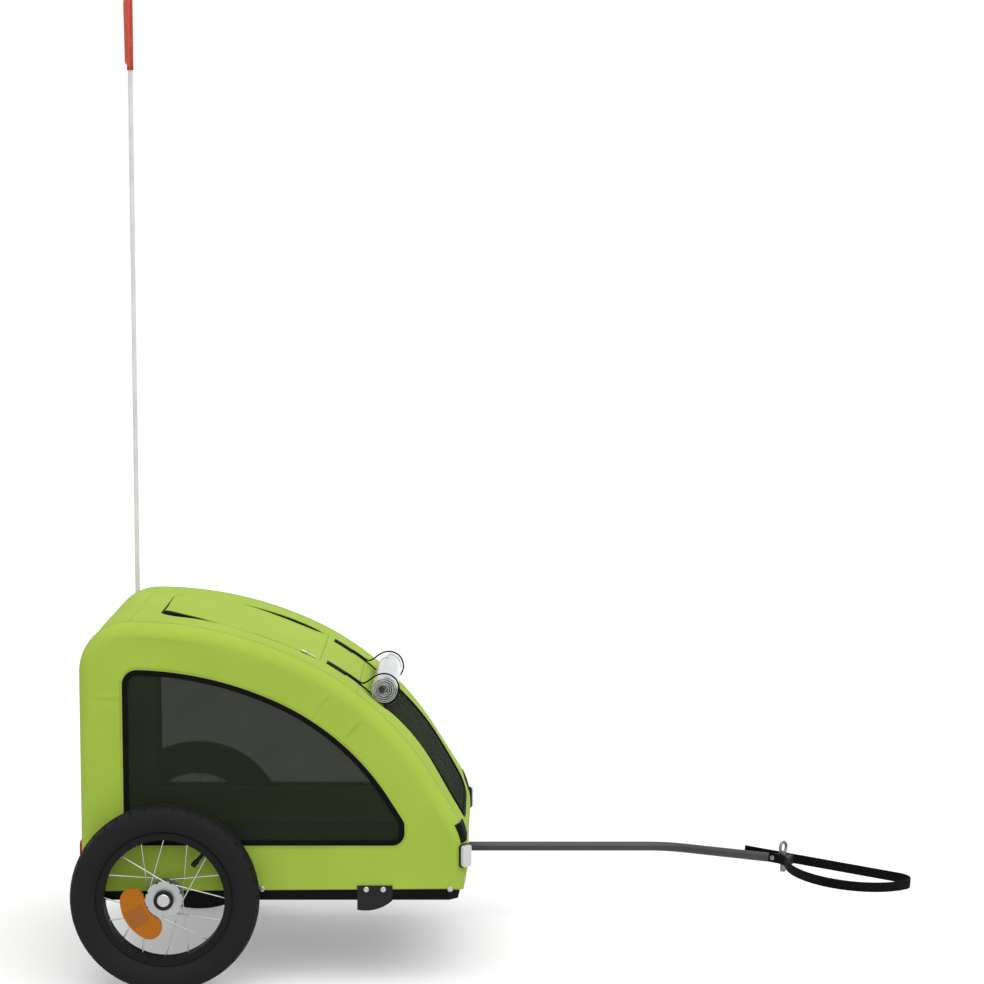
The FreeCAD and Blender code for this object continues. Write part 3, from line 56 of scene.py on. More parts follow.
Array = np.ndarray
Node = bpy.types.Node
Socket = bpy.types.NodeSocket
# Length of one ridge of Blender's wave pattern at scale 1
WAVE_LENGTH = math.pi / 10


class Side(Enum):
    """The trailer's two sides, by the sign of their Y."""

    RIGHT = -1
    LEFT = 1

    @property
    def word(self) -> str:
        """The side's name as it stands in node names."""
        return self.name.lower()


def middle_of(node: str) -> Array:
    """Middle of a frame node's box."""
    low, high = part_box(node)
    return (np.array(low) + np.array(high)) / 2


def unit(vectors: Array) -> Array:
    """Vectors scaled to length one along their last axis."""
    return vectors / np.maximum(np.linalg.norm(vectors, axis=-1, keepdims=True), 1e-12)


def smooth_step(value: Array, low: float, high: float) -> Array:
    """Cubic ease from 0 at low to 1 at high."""
    share = np.clip((value - low) / (high - low), 0, 1)
    return share * share * (3 - 2 * share)


def grid_faces(rows: int, columns: int, closed: bool = False, start: int = 0) -> Array:
    """Quads of a grid whose vertices run row by row.

    Args:
        rows: number of vertex rows.
        columns: number of vertices in a row.
        closed: whether each row joins its own start.
        start: index of the grid's first vertex.

    Returns:
        Vertex indices, four to a quad.
    """
    row = np.arange(rows - 1)[:, None] * columns
    here = np.arange(columns if closed else columns - 1)
    there = (here + 1) % columns
    quads = [row + here, row + there, row + columns + there, row + columns + here]
    return np.stack([quad.ravel() for quad in quads], axis=1) + start


def make_piece(name: str, points: Array, faces: Array, uv: Array | None = None,
               caps: Sequence[Sequence[int]] = ()) -> bpy.types.Object:
    """A mesh object at the origin with its place in its vertices.

    Args:
        name: the piece's name.
        points: vertices, three numbers each, in metres.
        faces: quads by vertex index.
        uv: flat place of each vertex in metres, for patterns that follow the cloth.
        caps: further faces with any number of corners.

    Returns:
        The linked object.
    """
    mesh = bpy.data.meshes.new(name)
    mesh.from_pydata(points.reshape(-1, 3), [], [*faces.tolist(), *map(list, caps)])
    if uv is not None:
        layer = mesh.uv_layers.new(name="cloth")
        corner = np.zeros(len(mesh.loops), np.int32)
        mesh.loops.foreach_get("vertex_index", corner)
        layer.data.foreach_set("uv", uv.reshape(-1, 2)[corner].astype(np.float32).ravel())
    mesh.polygons.foreach_set("use_smooth", np.ones(len(mesh.polygons), bool))
    mesh.validate()
    mesh.update()
    piece = bpy.data.objects.new(name, mesh)
    bpy.context.scene.collection.objects.link(piece)
    return piece


def thicken(piece: bpy.types.Object, thickness: float, offset: float = -1.0) -> bpy.types.Object:
    """Give an open surface a wall behind its outer face."""
    solid = piece.modifiers.new("wall", "SOLIDIFY")
    solid.thickness = thickness
    solid.offset = offset
    return piece


def stacked(*parts: Array | float) -> Array:
    """Coordinates joined along a new last axis."""
    return np.stack(np.broadcast_arrays(*parts), axis=-1)


def distance_along(path: Array) -> Array:
    """Distance of each point from the path's start, along its straight steps."""
    return np.concatenate([[0], np.cumsum(np.linalg.norm(np.diff(path, axis=0), axis=1))])


def loop_direction(loop: Array, reach: int = 1) -> Array:
    """Unit direction of a closed loop at each point, from a point behind it to one ahead."""
    return unit(np.roll(loop, -reach, axis=0) - np.roll(loop, reach, axis=0))


def bearing(points: Array, centre: Array) -> Array:
    """Angle at which each flat point is seen from a centre."""
    reach = points - centre
    return np.arctan2(reach[:, 1], reach[:, 0])


def end_caps(rows: int, columns: int) -> list[list[int]]:
    """The two end faces of a tube whose rings are the rows of a grid."""
    return [list(range(columns))[::-1], list(range((rows - 1) * columns, rows * columns))]


def facing(points: Array, faces: Array, way: Array | Sequence[float]) -> Array:
    """Quads turned so that, taken together, they face a way."""
    corner = points.reshape(-1, 3)[faces]
    normal = np.cross(corner[:, 2] - corner[:, 0], corner[:, 3] - corner[:, 1])
    ways = np.broadcast_to(np.asarray(way, float), normal.shape)
    return faces[:, ::-1] if (normal * ways).sum() < 0 else faces


def rounded_section(width: float, height: float, corners: int = 16, power: float = 4.0) -> Array:
    """Closed superellipse section: |a/w|^p + |b/h|^p = 1.

    Args:
        width: full width across the path.
        height: full height.
        corners: number of points round it.
        power: 2 gives an ellipse, more a squarer tape.

    Returns:
        Points round the section, two numbers each.
    """
    angle = np.linspace(0, 2 * math.pi, corners, endpoint=False)
    cosine, sine = np.cos(angle), np.sin(angle)
    across = np.sign(cosine) * np.abs(cosine) ** (2 / power) * width / 2
    upward = np.sign(sine) * np.abs(sine) ** (2 / power) * height / 2
    return np.stack([across, upward], axis=1)


def swept(name: str, path: Array, side: Array, up: Array, section: Array,
          closed: bool) -> bpy.types.Object:
    """A section carried along a path: point = path + a * side + b * up.

    Args:
        name: the piece's name.
        path: points along the path.
        side: unit vector across the path at each point.
        up: unit vector square to it at each point.
        section: closed outline, two numbers a point.
        closed: whether the path joins its own start.

    Returns:
        The linked object.
    """
    ring = path[:, None] + section[:, :1] * side[:, None] + section[:, 1:] * up[:, None]
    rows, columns = ring.shape[:2]
    faces = grid_faces(rows, columns, closed=True)
    if closed:
        last = (rows - 1) * columns
        here = np.arange(columns)
        there = (here + 1) % columns
        faces = np.concatenate([faces, np.stack([last + here, last + there, there, here], axis=1)])
    girth = np.linspace(0, 1, columns) * np.abs(np.diff(section, axis=0)).sum()
    uv = stacked(distance_along(path)[:, None], girth[None])
    return turned_out(make_piece(name, ring, faces, uv, () if closed else end_caps(rows, columns)))


def turned_out(piece: bpy.types.Object) -> bpy.types.Object:
    """Make a closed mesh's faces point outwards, by the sign of its volume."""
    mesh = piece.data
    mesh.calc_loop_triangles()
    corner = np.zeros(len(mesh.loop_triangles) * 3, np.int32)
    mesh.loop_triangles.foreach_get("vertices", corner)
    place = np.zeros(len(mesh.vertices) * 3, np.float32)
    mesh.vertices.foreach_get("co", place)
    first, second, third = np.moveaxis(place.reshape(-1, 3)[corner.reshape(-1, 3)], 1, 0)
    if np.einsum("ij,ij->i", first, np.cross(second, third)).sum() < 0:
        mesh.flip_normals()
    return piece


def pebble(name: str, middle: Array, axes: Array, size: Sequence[float],
           power: float = 4.0) -> bpy.types.Object:
    """A small rounded block: a superellipsoid with its three axes along given directions.

    Its section round the first axis is |b|^p + |c|^p = 1, shrinking to the ends as
    (1 - |a|^p)^(1/p).

    Args:
        name: the piece's name.
        middle: its middle.
        axes: three unit vectors.
        size: full length along each.
        power: more makes it squarer.

    Returns:
        The linked object.
    """
    rings, corners = 15, 24
    angle = np.linspace(-0.5 * math.pi, 0.5 * math.pi, rings + 2)[1:-1, None]
    length = np.sign(np.sin(angle)) * np.abs(np.sin(angle)) ** (2 / power)
    wide = np.cos(angle) ** (2 / power)
    ring = rounded_section(2, 2, corners, power)
    local = stacked(length, wide * ring[:, 0], wide * ring[:, 1])
    points = middle + (local * np.array(size) / 2) @ np.asarray(axes, float)
    faces = grid_faces(rings, corners, closed=True)
    return turned_out(make_piece(name, points, faces, caps=end_caps(rings, corners)))


def stitch_row(name: str, path: Array, up: Array, pitch: float = 0.006, length: float = 0.0042,
               thread: float = 0.0010) -> bpy.types.Object:
    """A row of stitches: one small six-sided spindle set again and again along a path.

    Point = middle + a * along + b * across + c * up, the spindle thinner at both its ends.

    Args:
        name: the piece's name.
        path: dense points along the row.
        up: unit vector off the cloth at each point.
        pitch: distance between stitches.
        length: length of one stitch.
        thread: its thickness.

    Returns:
        The linked object.
    """
    look_ahead = 0.0005
    place_shares = np.array([-0.5, -0.3, 0.3, 0.5])[:, None]
    girth_shares = np.array([0.4, 1.0, 1.0, 0.4])[:, None]
    distance = distance_along(path)
    spots = np.arange(pitch / 2, distance[-1] - pitch / 2, pitch)

    def along_path(place: Array, values: Array) -> Array:
        """Values of the path's points, read between them at given distances."""
        return stacked(*(np.interp(place, distance, values[:, axis]) for axis in range(3)))

    middle, normal = along_path(spots, path), unit(along_path(spots, up))
    along = along_path(spots + look_ahead, path) - middle
    along = unit(along - normal * np.sum(along * normal, axis=-1, keepdims=True))
    axes = np.stack([along, np.cross(normal, along), normal], axis=1)
    ring = rounded_section(thread, thread, corners=6, power=2)
    local = stacked(place_shares * length, girth_shares * ring[:, 0], girth_shares * ring[:, 1])
    rows, columns = local.shape[:2]
    points = middle[:, None] + local.reshape(-1, 3)[None] @ axes
    first = np.arange(len(spots))[:, None, None] * rows * columns
    faces = (first + grid_faces(rows, columns, closed=True)).reshape(-1, 4)
    caps = (first + np.array(end_caps(rows, columns))).reshape(-1, columns).tolist()
    return turned_out(make_piece(name, points, faces, caps=caps))


# Finishes


def shown_to_eye(tree: bpy.types.NodeTree) -> Socket:
    """One where the camera, a mirror or glass looks, zero in the light that is sent out."""
    path = tree.nodes.new("ShaderNodeLightPath").outputs
    shown = path["Is Camera Ray"]
    for ray in ("Is Glossy Ray", "Is Transmission Ray"):
        either = tree.nodes.new("ShaderNodeMath")
        either.operation = "MAXIMUM"
        tree.links.new(shown, either.inputs[0])
        tree.links.new(path[ray], either.inputs[1])
        shown = either.outputs[0]
    return shown


def shade(colour: Sequence[float], factor: float) -> tuple[float, ...]:
    """A colour made lighter or darker."""
    return tuple(min(1.0, channel * factor) for channel in colour)


class Pattern:
    """A small builder of one material's nodes."""

    def __init__(self, name: str) -> None:
        """Start a material with an empty Principled surface."""
        self.material = bpy.data.materials.new(name)
        self.material.use_nodes = True
        self.tree = self.material.node_tree
        self.surface = self.tree.nodes["Principled BSDF"]

    def add(self, kind: str, **settings: object) -> Node:
        """Add a node and set its properties."""
        node = self.tree.nodes.new("ShaderNode" + kind)
        for name, value in settings.items():
            setattr(node, name, value)
        return node

    def link(self, source: Socket, target: Socket) -> None:
        """Join two sockets."""
        self.tree.links.new(source, target)

    def set(self, **values: object) -> "Pattern":
        """Set the surface's own sockets, by their names with underscores."""
        for name, value in values.items():
            self.surface.inputs[name.replace("_", " ")].default_value = value
        return self

    def place(self, uv: bool = False, scale: Sequence[float] = (1, 1, 1)) -> Socket:
        """Coordinates of the piece, or of its cloth, stretched by a scale."""
        source = self.add("TexCoord").outputs["UV" if uv else "Object"]
        mapping = self.add("Mapping")
        mapping.inputs["Scale"].default_value = scale
        self.link(source, mapping.inputs["Vector"])
        return mapping.outputs["Vector"]

    def noise(self, scale: float, detail: float, stretch: Sequence[float] = (1, 1, 1)) -> Socket:
        """Cloudy value between 0 and 1."""
        node = self.add("TexNoise")
        node.inputs["Scale"].default_value = scale
        node.inputs["Detail"].default_value = detail
        self.link(self.place(scale=stretch), node.inputs["Vector"])
        return node.outputs["Fac"]

    def bands(self, pitch: float, direction: str) -> Socket:
        """Even ridges of thread along the cloth's X or Y, two to a pitch of the weave."""
        node = self.add("TexWave", wave_type="BANDS", bands_direction=direction)
        node.inputs["Scale"].default_value = 2 * WAVE_LENGTH / pitch
        self.link(self.place(uv=True), node.inputs["Vector"])
        return node.outputs["Fac"]

    def combine(self, operation: str, first: Socket | float, second: Socket | float) -> Socket:
        """Sum, product or other working of two values."""
        node = self.add("Math", operation=operation)
        for socket, value in zip(node.inputs, (first, second)):
            if isinstance(value, (int, float)):
                socket.default_value = value
            else:
                self.link(value, socket)
        return node.outputs[0]

    def colours(self, value: Socket, *stops: tuple[float, Sequence[float]]) -> Socket:
        """A value turned into colours between two stops."""
        ramp = self.add("ValToRGB")
        for element, (spot, colour) in zip(ramp.color_ramp.elements, stops):
            element.position = spot
            element.color = (*colour, 1)
        self.link(value, ramp.inputs["Fac"])
        return ramp.outputs["Color"]

    def paint(self, colour: Sequence[float], value: Socket, *stops: tuple[float, float]) -> None:
        """Colour the surface by a value: at both stops the colour made lighter or darker by a factor."""
        mixed = self.colours(value, *((spot, shade(colour, factor)) for spot, factor in stops))
        self.link(mixed, self.surface.inputs["Base Color"])

    def bump(self, height: Socket, strength: float, distance: float) -> None:
        """Raise the surface by a height pattern."""
        node = self.add("Bump")
        node.inputs["Strength"].default_value = strength
        node.inputs["Distance"].default_value = distance
        self.link(height, node.inputs["Height"])
        self.link(node.outputs["Normal"], self.surface.inputs["Normal"])

    def roughen(self, value: Socket, low: float, high: float) -> None:
        """Vary the gloss between two roughnesses."""
        node = self.add("MapRange")
        node.inputs["To Min"].default_value = low
        node.inputs["To Max"].default_value = high
        self.link(value, node.inputs["Value"])
        self.link(node.outputs["Result"], self.surface.inputs["Roughness"])


@dataclass(frozen=True)
class Cloth:
    """Woven cloth: crossed ridges along its own two directions, with a slight unevenness of dye."""

    name: str
    colour: tuple[float, float, float]
    pitch: float = 0.0009
    relief: float = 0.35
    roughness: float = 0.8
    sheen: float = 0.04
    gloss: float = 0.12
    alpha: float = 1.0
    unevenness: float = 0.06
    dye_scale: float = 9.0
    weave_share: float = 0.35
    ridge_share: float = 0.35

    def material(self) -> bpy.types.Material:
        """Make the cloth's material."""
        pattern = Pattern(self.name)
        warp = pattern.bands(self.pitch, "X")
        weft = pattern.bands(self.pitch, "Y")
        weave = pattern.combine("MULTIPLY", warp, weft)
        dye = pattern.noise(self.dye_scale, 4)
        mixed = pattern.combine("ADD", pattern.combine("MULTIPLY", weave, self.weave_share),
                                pattern.combine("MULTIPLY", dye, 1 - self.weave_share))
        pattern.paint(self.colour, mixed, (0.25, 1 - self.unevenness), (0.7, 1 + self.unevenness))
        pattern.roughen(dye, self.roughness - 0.06, min(1.0, self.roughness + 0.08))
        pattern.bump(weave, self.relief, self.pitch * self.ridge_share)
        pattern.set(Sheen_Weight=self.sheen, Sheen_Roughness=0.5, Alpha=self.alpha,
                    Specular_IOR_Level=self.gloss)
        return pattern.material


@dataclass(frozen=True)
class Coating:
    """Painted, plated or moulded skin: fine grain in its relief, cloudiness in its gloss."""

    name: str
    colour: tuple[float, float, float]
    roughness: float = 0.4
    metal: float = 0.0
    grain: float = 900.0
    relief: float = 0.08
    spread: float = 0.12
    coat: float = 0.0
    gloss: float = 0.5
    unevenness: float = 0.08
    cloud_scale: float = 24.0
    grain_height: float = 0.0004

    def material(self) -> bpy.types.Material:
        """Make the coating's material."""
        pattern = Pattern(self.name)
        cloud = pattern.noise(self.cloud_scale, 4)
        pattern.paint(self.colour, cloud, (0.3, 1 - self.unevenness), (0.7, 1 + self.unevenness))
        pattern.roughen(cloud, max(0.02, self.roughness - self.spread),
                        min(1.0, self.roughness + self.spread))
        pattern.bump(pattern.noise(self.grain, 2), self.relief, self.grain_height)
        pattern.set(Metallic=self.metal, Coat_Weight=self.coat, Coat_Roughness=0.12,
                    Specular_IOR_Level=self.gloss)
        return pattern.material


@dataclass(frozen=True)
class Lens:
    """Moulded reflector lens with rows of small prisms behind a smooth clear face, with painted highlight
    at each prism's middle and painted shade towards its edges.

    Where it has a plate, the face past the distance plate_out from the trailer's middle is plain.
    """

    name: str
    colour: tuple[float, float, float]
    prism: float = 0.0032
    plate: tuple[float, float, float] | None = None
    plate_out: float = 0.0
    coat: float = 1.0
    gloss: float = 0.6
    depth_share: float = 0.3

    def material(self) -> bpy.types.Material:
        """Make the lens's material."""
        pattern = Pattern(self.name)
        cells = pattern.add("TexVoronoi", feature="F1", distance="MANHATTAN")
        cells.inputs["Scale"].default_value = 1 / self.prism
        cells.inputs["Randomness"].default_value = 0.0
        pattern.link(pattern.place(), cells.inputs["Vector"])
        depth = cells.outputs["Distance"]
        # Painted highlight and shade of the prisms: each cell's colour lighter at its middle and darker
        # towards its edges
        colour = pattern.colours(depth, (0.1, shade(self.colour, 1.25)),
                                 (0.9, shade(self.colour, 0.62)))
        if self.plate:
            apart = pattern.add("SeparateXYZ")
            pattern.link(pattern.add("TexCoord").outputs["Object"], apart.inputs[0])
            out = pattern.combine("ABSOLUTE", apart.outputs["Y"], 0.0)
            mix = pattern.add("Mix", data_type="RGBA")
            pattern.link(pattern.combine("GREATER_THAN", out, self.plate_out), mix.inputs["Factor"])
            pattern.link(colour, mix.inputs["A"])
            mix.inputs["B"].default_value = (*self.plate, 1)
            colour = mix.outputs["Result"]
        pattern.link(colour, pattern.surface.inputs["Base Color"])
        pattern.bump(depth, 0.5, self.prism * self.depth_share)
        pattern.set(Roughness=0.16, Coat_Weight=self.coat, Coat_Roughness=0.04,
                    Specular_IOR_Level=self.gloss)
        return pattern.material


@dataclass(frozen=True)
class TyreRubber:
    """Moulded tyre rubber: circles in the sidewall about the wheel's axle, and a dusty bloom."""

    name: str
    colour: tuple[float, float, float]
    axle: tuple[float, float]
    ridge: float = 0.0042
    bloom_scale: float = 60.0
    grain: float = 1400.0
    height: float = 0.0006

    def material(self) -> bpy.types.Material:
        """Make the rubber's material."""
        pattern = Pattern(self.name)
        mapping = pattern.add("Mapping")
        mapping.inputs["Location"].default_value = (-self.axle[0], 0, -self.axle[1])
        mapping.inputs["Scale"].default_value = (1, 0, 1)
        pattern.link(pattern.add("TexCoord").outputs["Object"], mapping.inputs["Vector"])
        rings = pattern.add("TexWave", wave_type="RINGS", rings_direction="Y")
        rings.inputs["Scale"].default_value = WAVE_LENGTH / self.ridge
        pattern.link(mapping.outputs["Vector"], rings.inputs["Vector"])
        bloom = pattern.noise(self.bloom_scale, 5)
        pattern.paint(self.colour, bloom, (0.3, 0.85), (0.75, 1.3))
        pattern.roughen(bloom, 0.62, 0.82)
        relief = pattern.combine("ADD", pattern.combine("MULTIPLY", rings.outputs["Fac"], 0.5),
                                 pattern.combine("MULTIPLY", pattern.noise(self.grain, 2), 0.3))
        pattern.bump(relief, 0.25, self.height)
        pattern.set(Specular_IOR_Level=0.2)
        return pattern.material


@dataclass(frozen=True)
class ClearFilm:
    """Clear flexible film, milky where it is rolled, with a soft gloss."""

    name: str
    colour: tuple[float, float, float] = (0.86, 0.88, 0.89)
    alpha: float = 0.5
    haze_scale: float = 30.0
    haze_stretch: tuple[float, float, float] = (1, 0.25, 1)
    ripple: float = 0.003

    def material(self) -> bpy.types.Material:
        """Make the film's material."""
        pattern = Pattern(self.name)
        haze = pattern.noise(self.haze_scale, 3, stretch=self.haze_stretch)
        pattern.paint(self.colour, haze, (0.35, 0.8), (0.65, 1.08))
        pattern.bump(haze, 0.3, self.ripple)
        pattern.set(Roughness=0.12, Alpha=self.alpha, Specular_IOR_Level=0.7, Coat_Weight=0.6,
                    Coat_Roughness=0.05)
        return pattern.material


GREEN = (0.366, 0.515, 0.064)
BLACK = (0.0045, 0.0045, 0.0048)
AXLE = middle_of("rim_right")
REFLECTOR_FACE = max(abs(float(corner[1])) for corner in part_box("wheel_reflector_right"))
PLATE_DEPTH = 0.0008


@dataclass(frozen=True)
class Palette:
    """The trailer's finishes, each made once."""

    canvas: bpy.types.Material
    mesh: bpy.types.Material
    tape: bpy.types.Material
    webbing: bpy.types.Material
    elastic: bpy.types.Material
    thread: bpy.types.Material
    pennant: bpy.types.Material
    film: bpy.types.Material

    @classmethod
    def mixed(cls) -> "Palette":
        """Mix the cloth finishes."""
        return cls(
            canvas=Cloth("green_canvas", GREEN).material(),
            mesh=Cloth("black_mesh", (0.027, 0.034, 0.021), pitch=0.0012, relief=0.2, alpha=0.60,
                       unevenness=0.2, sheen=0.01, gloss=0.04).material(),
            tape=Cloth("black_tape", BLACK, pitch=0.0008, relief=0.5, sheen=0.02, gloss=0.06).material(),
            webbing=Cloth("black_webbing", BLACK, pitch=0.0016, relief=0.8, sheen=0.02,
                          gloss=0.06).material(),
            elastic=Cloth("black_elastic", BLACK, pitch=0.0007, relief=0.6, gloss=0.08).material(),
            thread=Cloth("green_thread", shade(GREEN, 0.80), pitch=0.0004).material(),
            pennant=Cloth("orange_cloth", (0.60, 0.075, 0.038), pitch=0.0007, unevenness=0.1).material(),
            film=ClearFilm("clear_film").material(),
        )


def dress(piece: bpy.types.Object, material: bpy.types.Material, body: str, slot: str,
          *nodes: str) -> None:
    """Finish a new piece, set it on its body and let it stand for frame nodes.

    Args:
        piece: the new piece.
        material: its finish.
        body: the body that it rides on.
        slot: not used.
        nodes: the frame nodes that it stands for.
    """
    piece.data.materials.clear()
    piece.data.materials.append(material)
    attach(piece, body)
    if nodes:
        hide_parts(*nodes)
    LOG.info("dressed %s", piece.name)


# Cabin outline


@dataclass(frozen=True)
class Outline:
    """Side outline of the cabin, a chain of tangent lines and arcs from the rear hem to the toe.

    Distances run along the outer cloth; the same distance on an inset outline is the point
    straight behind it.
    """

    axle_x: float = float(AXLE[0])
    rear: float = 0.138
    top: float = 0.583
    hem: float = 0.152
    corner_radius: float = 0.080
    roof_radius: float = 0.635
    brow_radius: float = 0.487
    nose_radius: float = 0.130
    screen_length: float = 0.08097
    roof_turn: float = 24.7
    screen_slope: float = 58.0
    nose_slope: float = 100.0

    def chain(self) -> list[tuple[float, float, float, float, float, float]]:
        """Segments as (start x, start z, start slope, end slope, radius, length), slopes in degrees.

        A line has radius 0. Each starts where the one before ends.
        """
        spot = np.array([-self.rear, self.hem])
        found = []
        upright = self.top - self.corner_radius - self.hem
        plan = [(-90.0, -90.0, 0.0, upright), (-90.0, 0.0, self.corner_radius, 0.0),
                (0.0, self.roof_turn, self.roof_radius, 0.0),
                (self.roof_turn, self.screen_slope, self.brow_radius, 0.0),
                (self.screen_slope, self.screen_slope, 0.0, self.screen_length),
                (self.screen_slope, self.nose_slope, self.nose_radius, 0.0),
                (self.nose_slope, self.nose_slope, 0.0, 0.0)]
        for start, end, radius, length in plan:
            first, last = math.radians(start), math.radians(end)
            if radius:
                length = radius * (last - first)
                step = radius * np.array([math.sin(last) - math.sin(first),
                                          math.cos(last) - math.cos(first)])
            else:
                length = length or (spot[1] - self.hem) / math.sin(first)
                step = length * np.array([math.cos(first), -math.sin(first)])
            found.append((spot[0], spot[1], start, end, radius, length))
            spot = spot + step
        return found

    @property
    def length(self) -> float:
        """Length of the outer outline."""
        return sum(segment[-1] for segment in self.chain())

    def knots(self) -> Array:
        """Distances at which the segments meet."""
        return np.concatenate([[0], np.cumsum([segment[-1] for segment in self.chain()])])

    def at(self, distance: Array) -> tuple[Array, Array, Array, Array]:
        """Place and outward normal at distances along the outline.

        On an arc the normal's slope grows evenly with distance: place = centre + radius * normal.

        Args:
            distance: metres from the rear hem.

        Returns:
            x and z of the place, then x and z of the normal.
        """
        table = np.array(self.chain())
        knots = self.knots()
        index = np.clip(np.searchsorted(knots, distance, side="right") - 1, 0, len(table) - 1)
        x, z, start, end, radius, length = np.moveaxis(table[index], -1, 0)
        run = distance - knots[index]
        slope = np.radians(start + (end - start) * run / length)
        first = np.radians(start)
        curved = radius > 0
        step_x = np.where(curved, radius * (np.sin(slope) - np.sin(first)), run * np.cos(first))
        step_z = np.where(curved, radius * (np.cos(slope) - np.cos(first)), -run * np.sin(first))
        return x + step_x + self.axle_x, z + step_z, np.sin(slope), np.cos(slope)

    def centre(self, index: int) -> Array:
        """Centre of an arc of the chain, x counted from the axle: start - radius * start normal."""
        x, z, start, _, radius, _ = self.chain()[index]
        slope = math.radians(start)
        return np.array([x - radius * math.sin(slope), z - radius * math.cos(slope)])

    def place(self, distance: Array, across: Array, lift: Array | float = 0.0) -> Array:
        """Points on the cabin's middle band: the outline moved out by lift, at a distance across."""
        x, z, normal_x, normal_z = self.at(distance)
        return stacked(x + lift * normal_x, across, z + lift * normal_z)

    def normal(self, distance: Array) -> Array:
        """Outward normal at distances along the outline, three numbers each."""
        _, _, normal_x, normal_z = self.at(distance)
        return stacked(normal_x, 0.0, normal_z)

    def distance_at_x(self, x: float, samples: int = 4000) -> float:
        """Distance along the roof, brow or screen where the outline has an x, counted from the axle."""
        run = np.linspace(self.knots()[2], self.knots()[5], samples)
        return float(np.interp(x + self.axle_x, self.at(run)[0], run))


OUTLINE = Outline()
CABIN_MIDDLE = np.array([OUTLINE.axle_x + 0.14, 0.0, 0.30])
CABIN_HALF = 0.2175
EDGE_RADIUS = 0.022
CANVAS_WALL = 0.0016
MESH_WALL = 0.0006
Shape = Callable[[Array], Array]


def ray_hits(loop: Array, centre: Array, angle: Array) -> Array:
    """Points where rays from a centre cross a closed convex loop.

    Args:
        loop: dense points round the loop, counter-clockwise.
        centre: point inside it.
        angle: direction of each ray.

    Returns:
        A point for each ray.
    """
    turn = np.unwrap(bearing(loop, centre))
    turn = np.concatenate([turn, [turn[0] + 2 * math.pi]])
    closed = np.concatenate([loop, loop[:1]])
    wanted = turn[0] + np.mod(angle - turn[0], 2 * math.pi)
    segment = np.clip(np.searchsorted(turn, wanted, side="right") - 1, 0, len(loop) - 1)
    start, end = closed[segment] - centre, closed[segment + 1] - centre
    way = np.stack([np.cos(angle), np.sin(angle)], axis=1)
    along = end - start
    cross = way[:, 0] * along[:, 1] - way[:, 1] * along[:, 0]
    distance = (start[:, 0] * along[:, 1] - start[:, 1] * along[:, 0]) / cross
    return centre + way * distance[:, None]


def rounded_loop(corners: Array, radii: Sequence[float], steps: int = 14) -> Array:
    """A polygon with each corner rounded by a tangent arc.

    Args:
        corners: corner points, counter-clockwise.
        radii: radius at each corner, 0 for a sharp one.
        steps: points along each arc.

    Returns:
        Dense points round the loop.
    """
    before, after = np.roll(corners, 1, axis=0), np.roll(corners, -1, axis=0)
    back, ahead = unit(before - corners), unit(after - corners)
    half = np.arccos(np.clip((back * ahead).sum(1), -1, 1)) / 2
    radius = np.maximum(np.array(radii), 1e-5)
    start = corners + back * (radius / np.tan(half))[:, None]
    end = corners + ahead * (radius / np.tan(half))[:, None]
    middle = corners + unit(back + ahead) * (radius / np.sin(half))[:, None]
    share = np.linspace(0, 1, steps)[None, :, None]
    blend = (start - middle)[:, None] * (1 - share) + (end - middle)[:, None] * share
    return (middle[:, None] + unit(blend) * radius[:, None, None]).reshape(-1, 2)


def dense(loop: Array, step: float) -> Array:
    """A closed loop with points no further apart than about a step."""
    closed = np.concatenate([loop, loop[:1]])
    run = distance_along(closed)
    wanted = np.unique(np.concatenate([run[:-1], np.arange(0, run[-1], step)]))
    wanted = wanted[np.diff(wanted, append=run[-1]) > 0.1 * step]
    return np.stack([np.interp(wanted, run, closed[:, axis]) for axis in (0, 1)], axis=1)


@dataclass(frozen=True)
class Folds:
    """Soft unevenness of stretched cloth: a few long swells and some short creases."""

    swell: float
    creases: tuple[tuple[float, float, float, float, float], ...] = ()
    slow_waves: tuple[float, float] = (17.0, 13.0)
    slow_shift: tuple[float, float] = (1.3, 0.4)
    slant_waves: tuple[float, float] = (31.0, -19.0)
    slant_share: float = 0.6
    ridge_width: float = 0.0036
    furrow_width: float = 0.0040
    furrow_shift: float = 0.0050
    furrow_share: float = 0.8

    def lift(self, first: Array, second: Array) -> Array:
        """Height of the cloth over its taut surface.

        Swells are products of slow sines. A crease, given by its middle, angle, length and rise, is a
        ridge exp(-v^2/w^2) across its line with a furrow beside it, fading as exp(-u^2/l^2) along it.

        Args:
            first: one flat coordinate.
            second: the other.

        Returns:
            Height in metres.
        """
        slow = [np.sin(waves * flat + shift)
                for waves, flat, shift in zip(self.slow_waves, (first, second), self.slow_shift)]
        slant = np.sin(self.slant_waves[0] * first + self.slant_waves[1] * second)
        height = self.swell * (slow[0] * slow[1] + self.slant_share * slant)
        for x, y, angle, length, rise in self.creases:
            cosine, sine = math.cos(math.radians(angle)), math.sin(math.radians(angle))
            along = (first - x) * cosine + (second - y) * sine
            across = (second - y) * cosine - (first - x) * sine
            furrow = np.exp(-((across + self.furrow_shift) / self.furrow_width) ** 2)
            ridge = np.exp(-(across / self.ridge_width) ** 2) - self.furrow_share * furrow
            height = height + rise * ridge * np.exp(-(along / length) ** 2)
        return height


def perimeter(low: Sequence[float], high: Sequence[float], step: float) -> Array:
    """Dense points round a rectangle, counter-clockwise, with its corners among them."""
    corners = np.array([[low[0], low[1]], [high[0], low[1]], [high[0], high[1]], [low[0], high[1]]])
    return dense(corners, step)


def away_from_middle(points: Array, faces: Array) -> Array:
    """Quads turned so that they face away from the cabin's middle."""
    return facing(points, faces, points.reshape(-1, 3)[faces[:, 0]] - CABIN_MIDDLE)


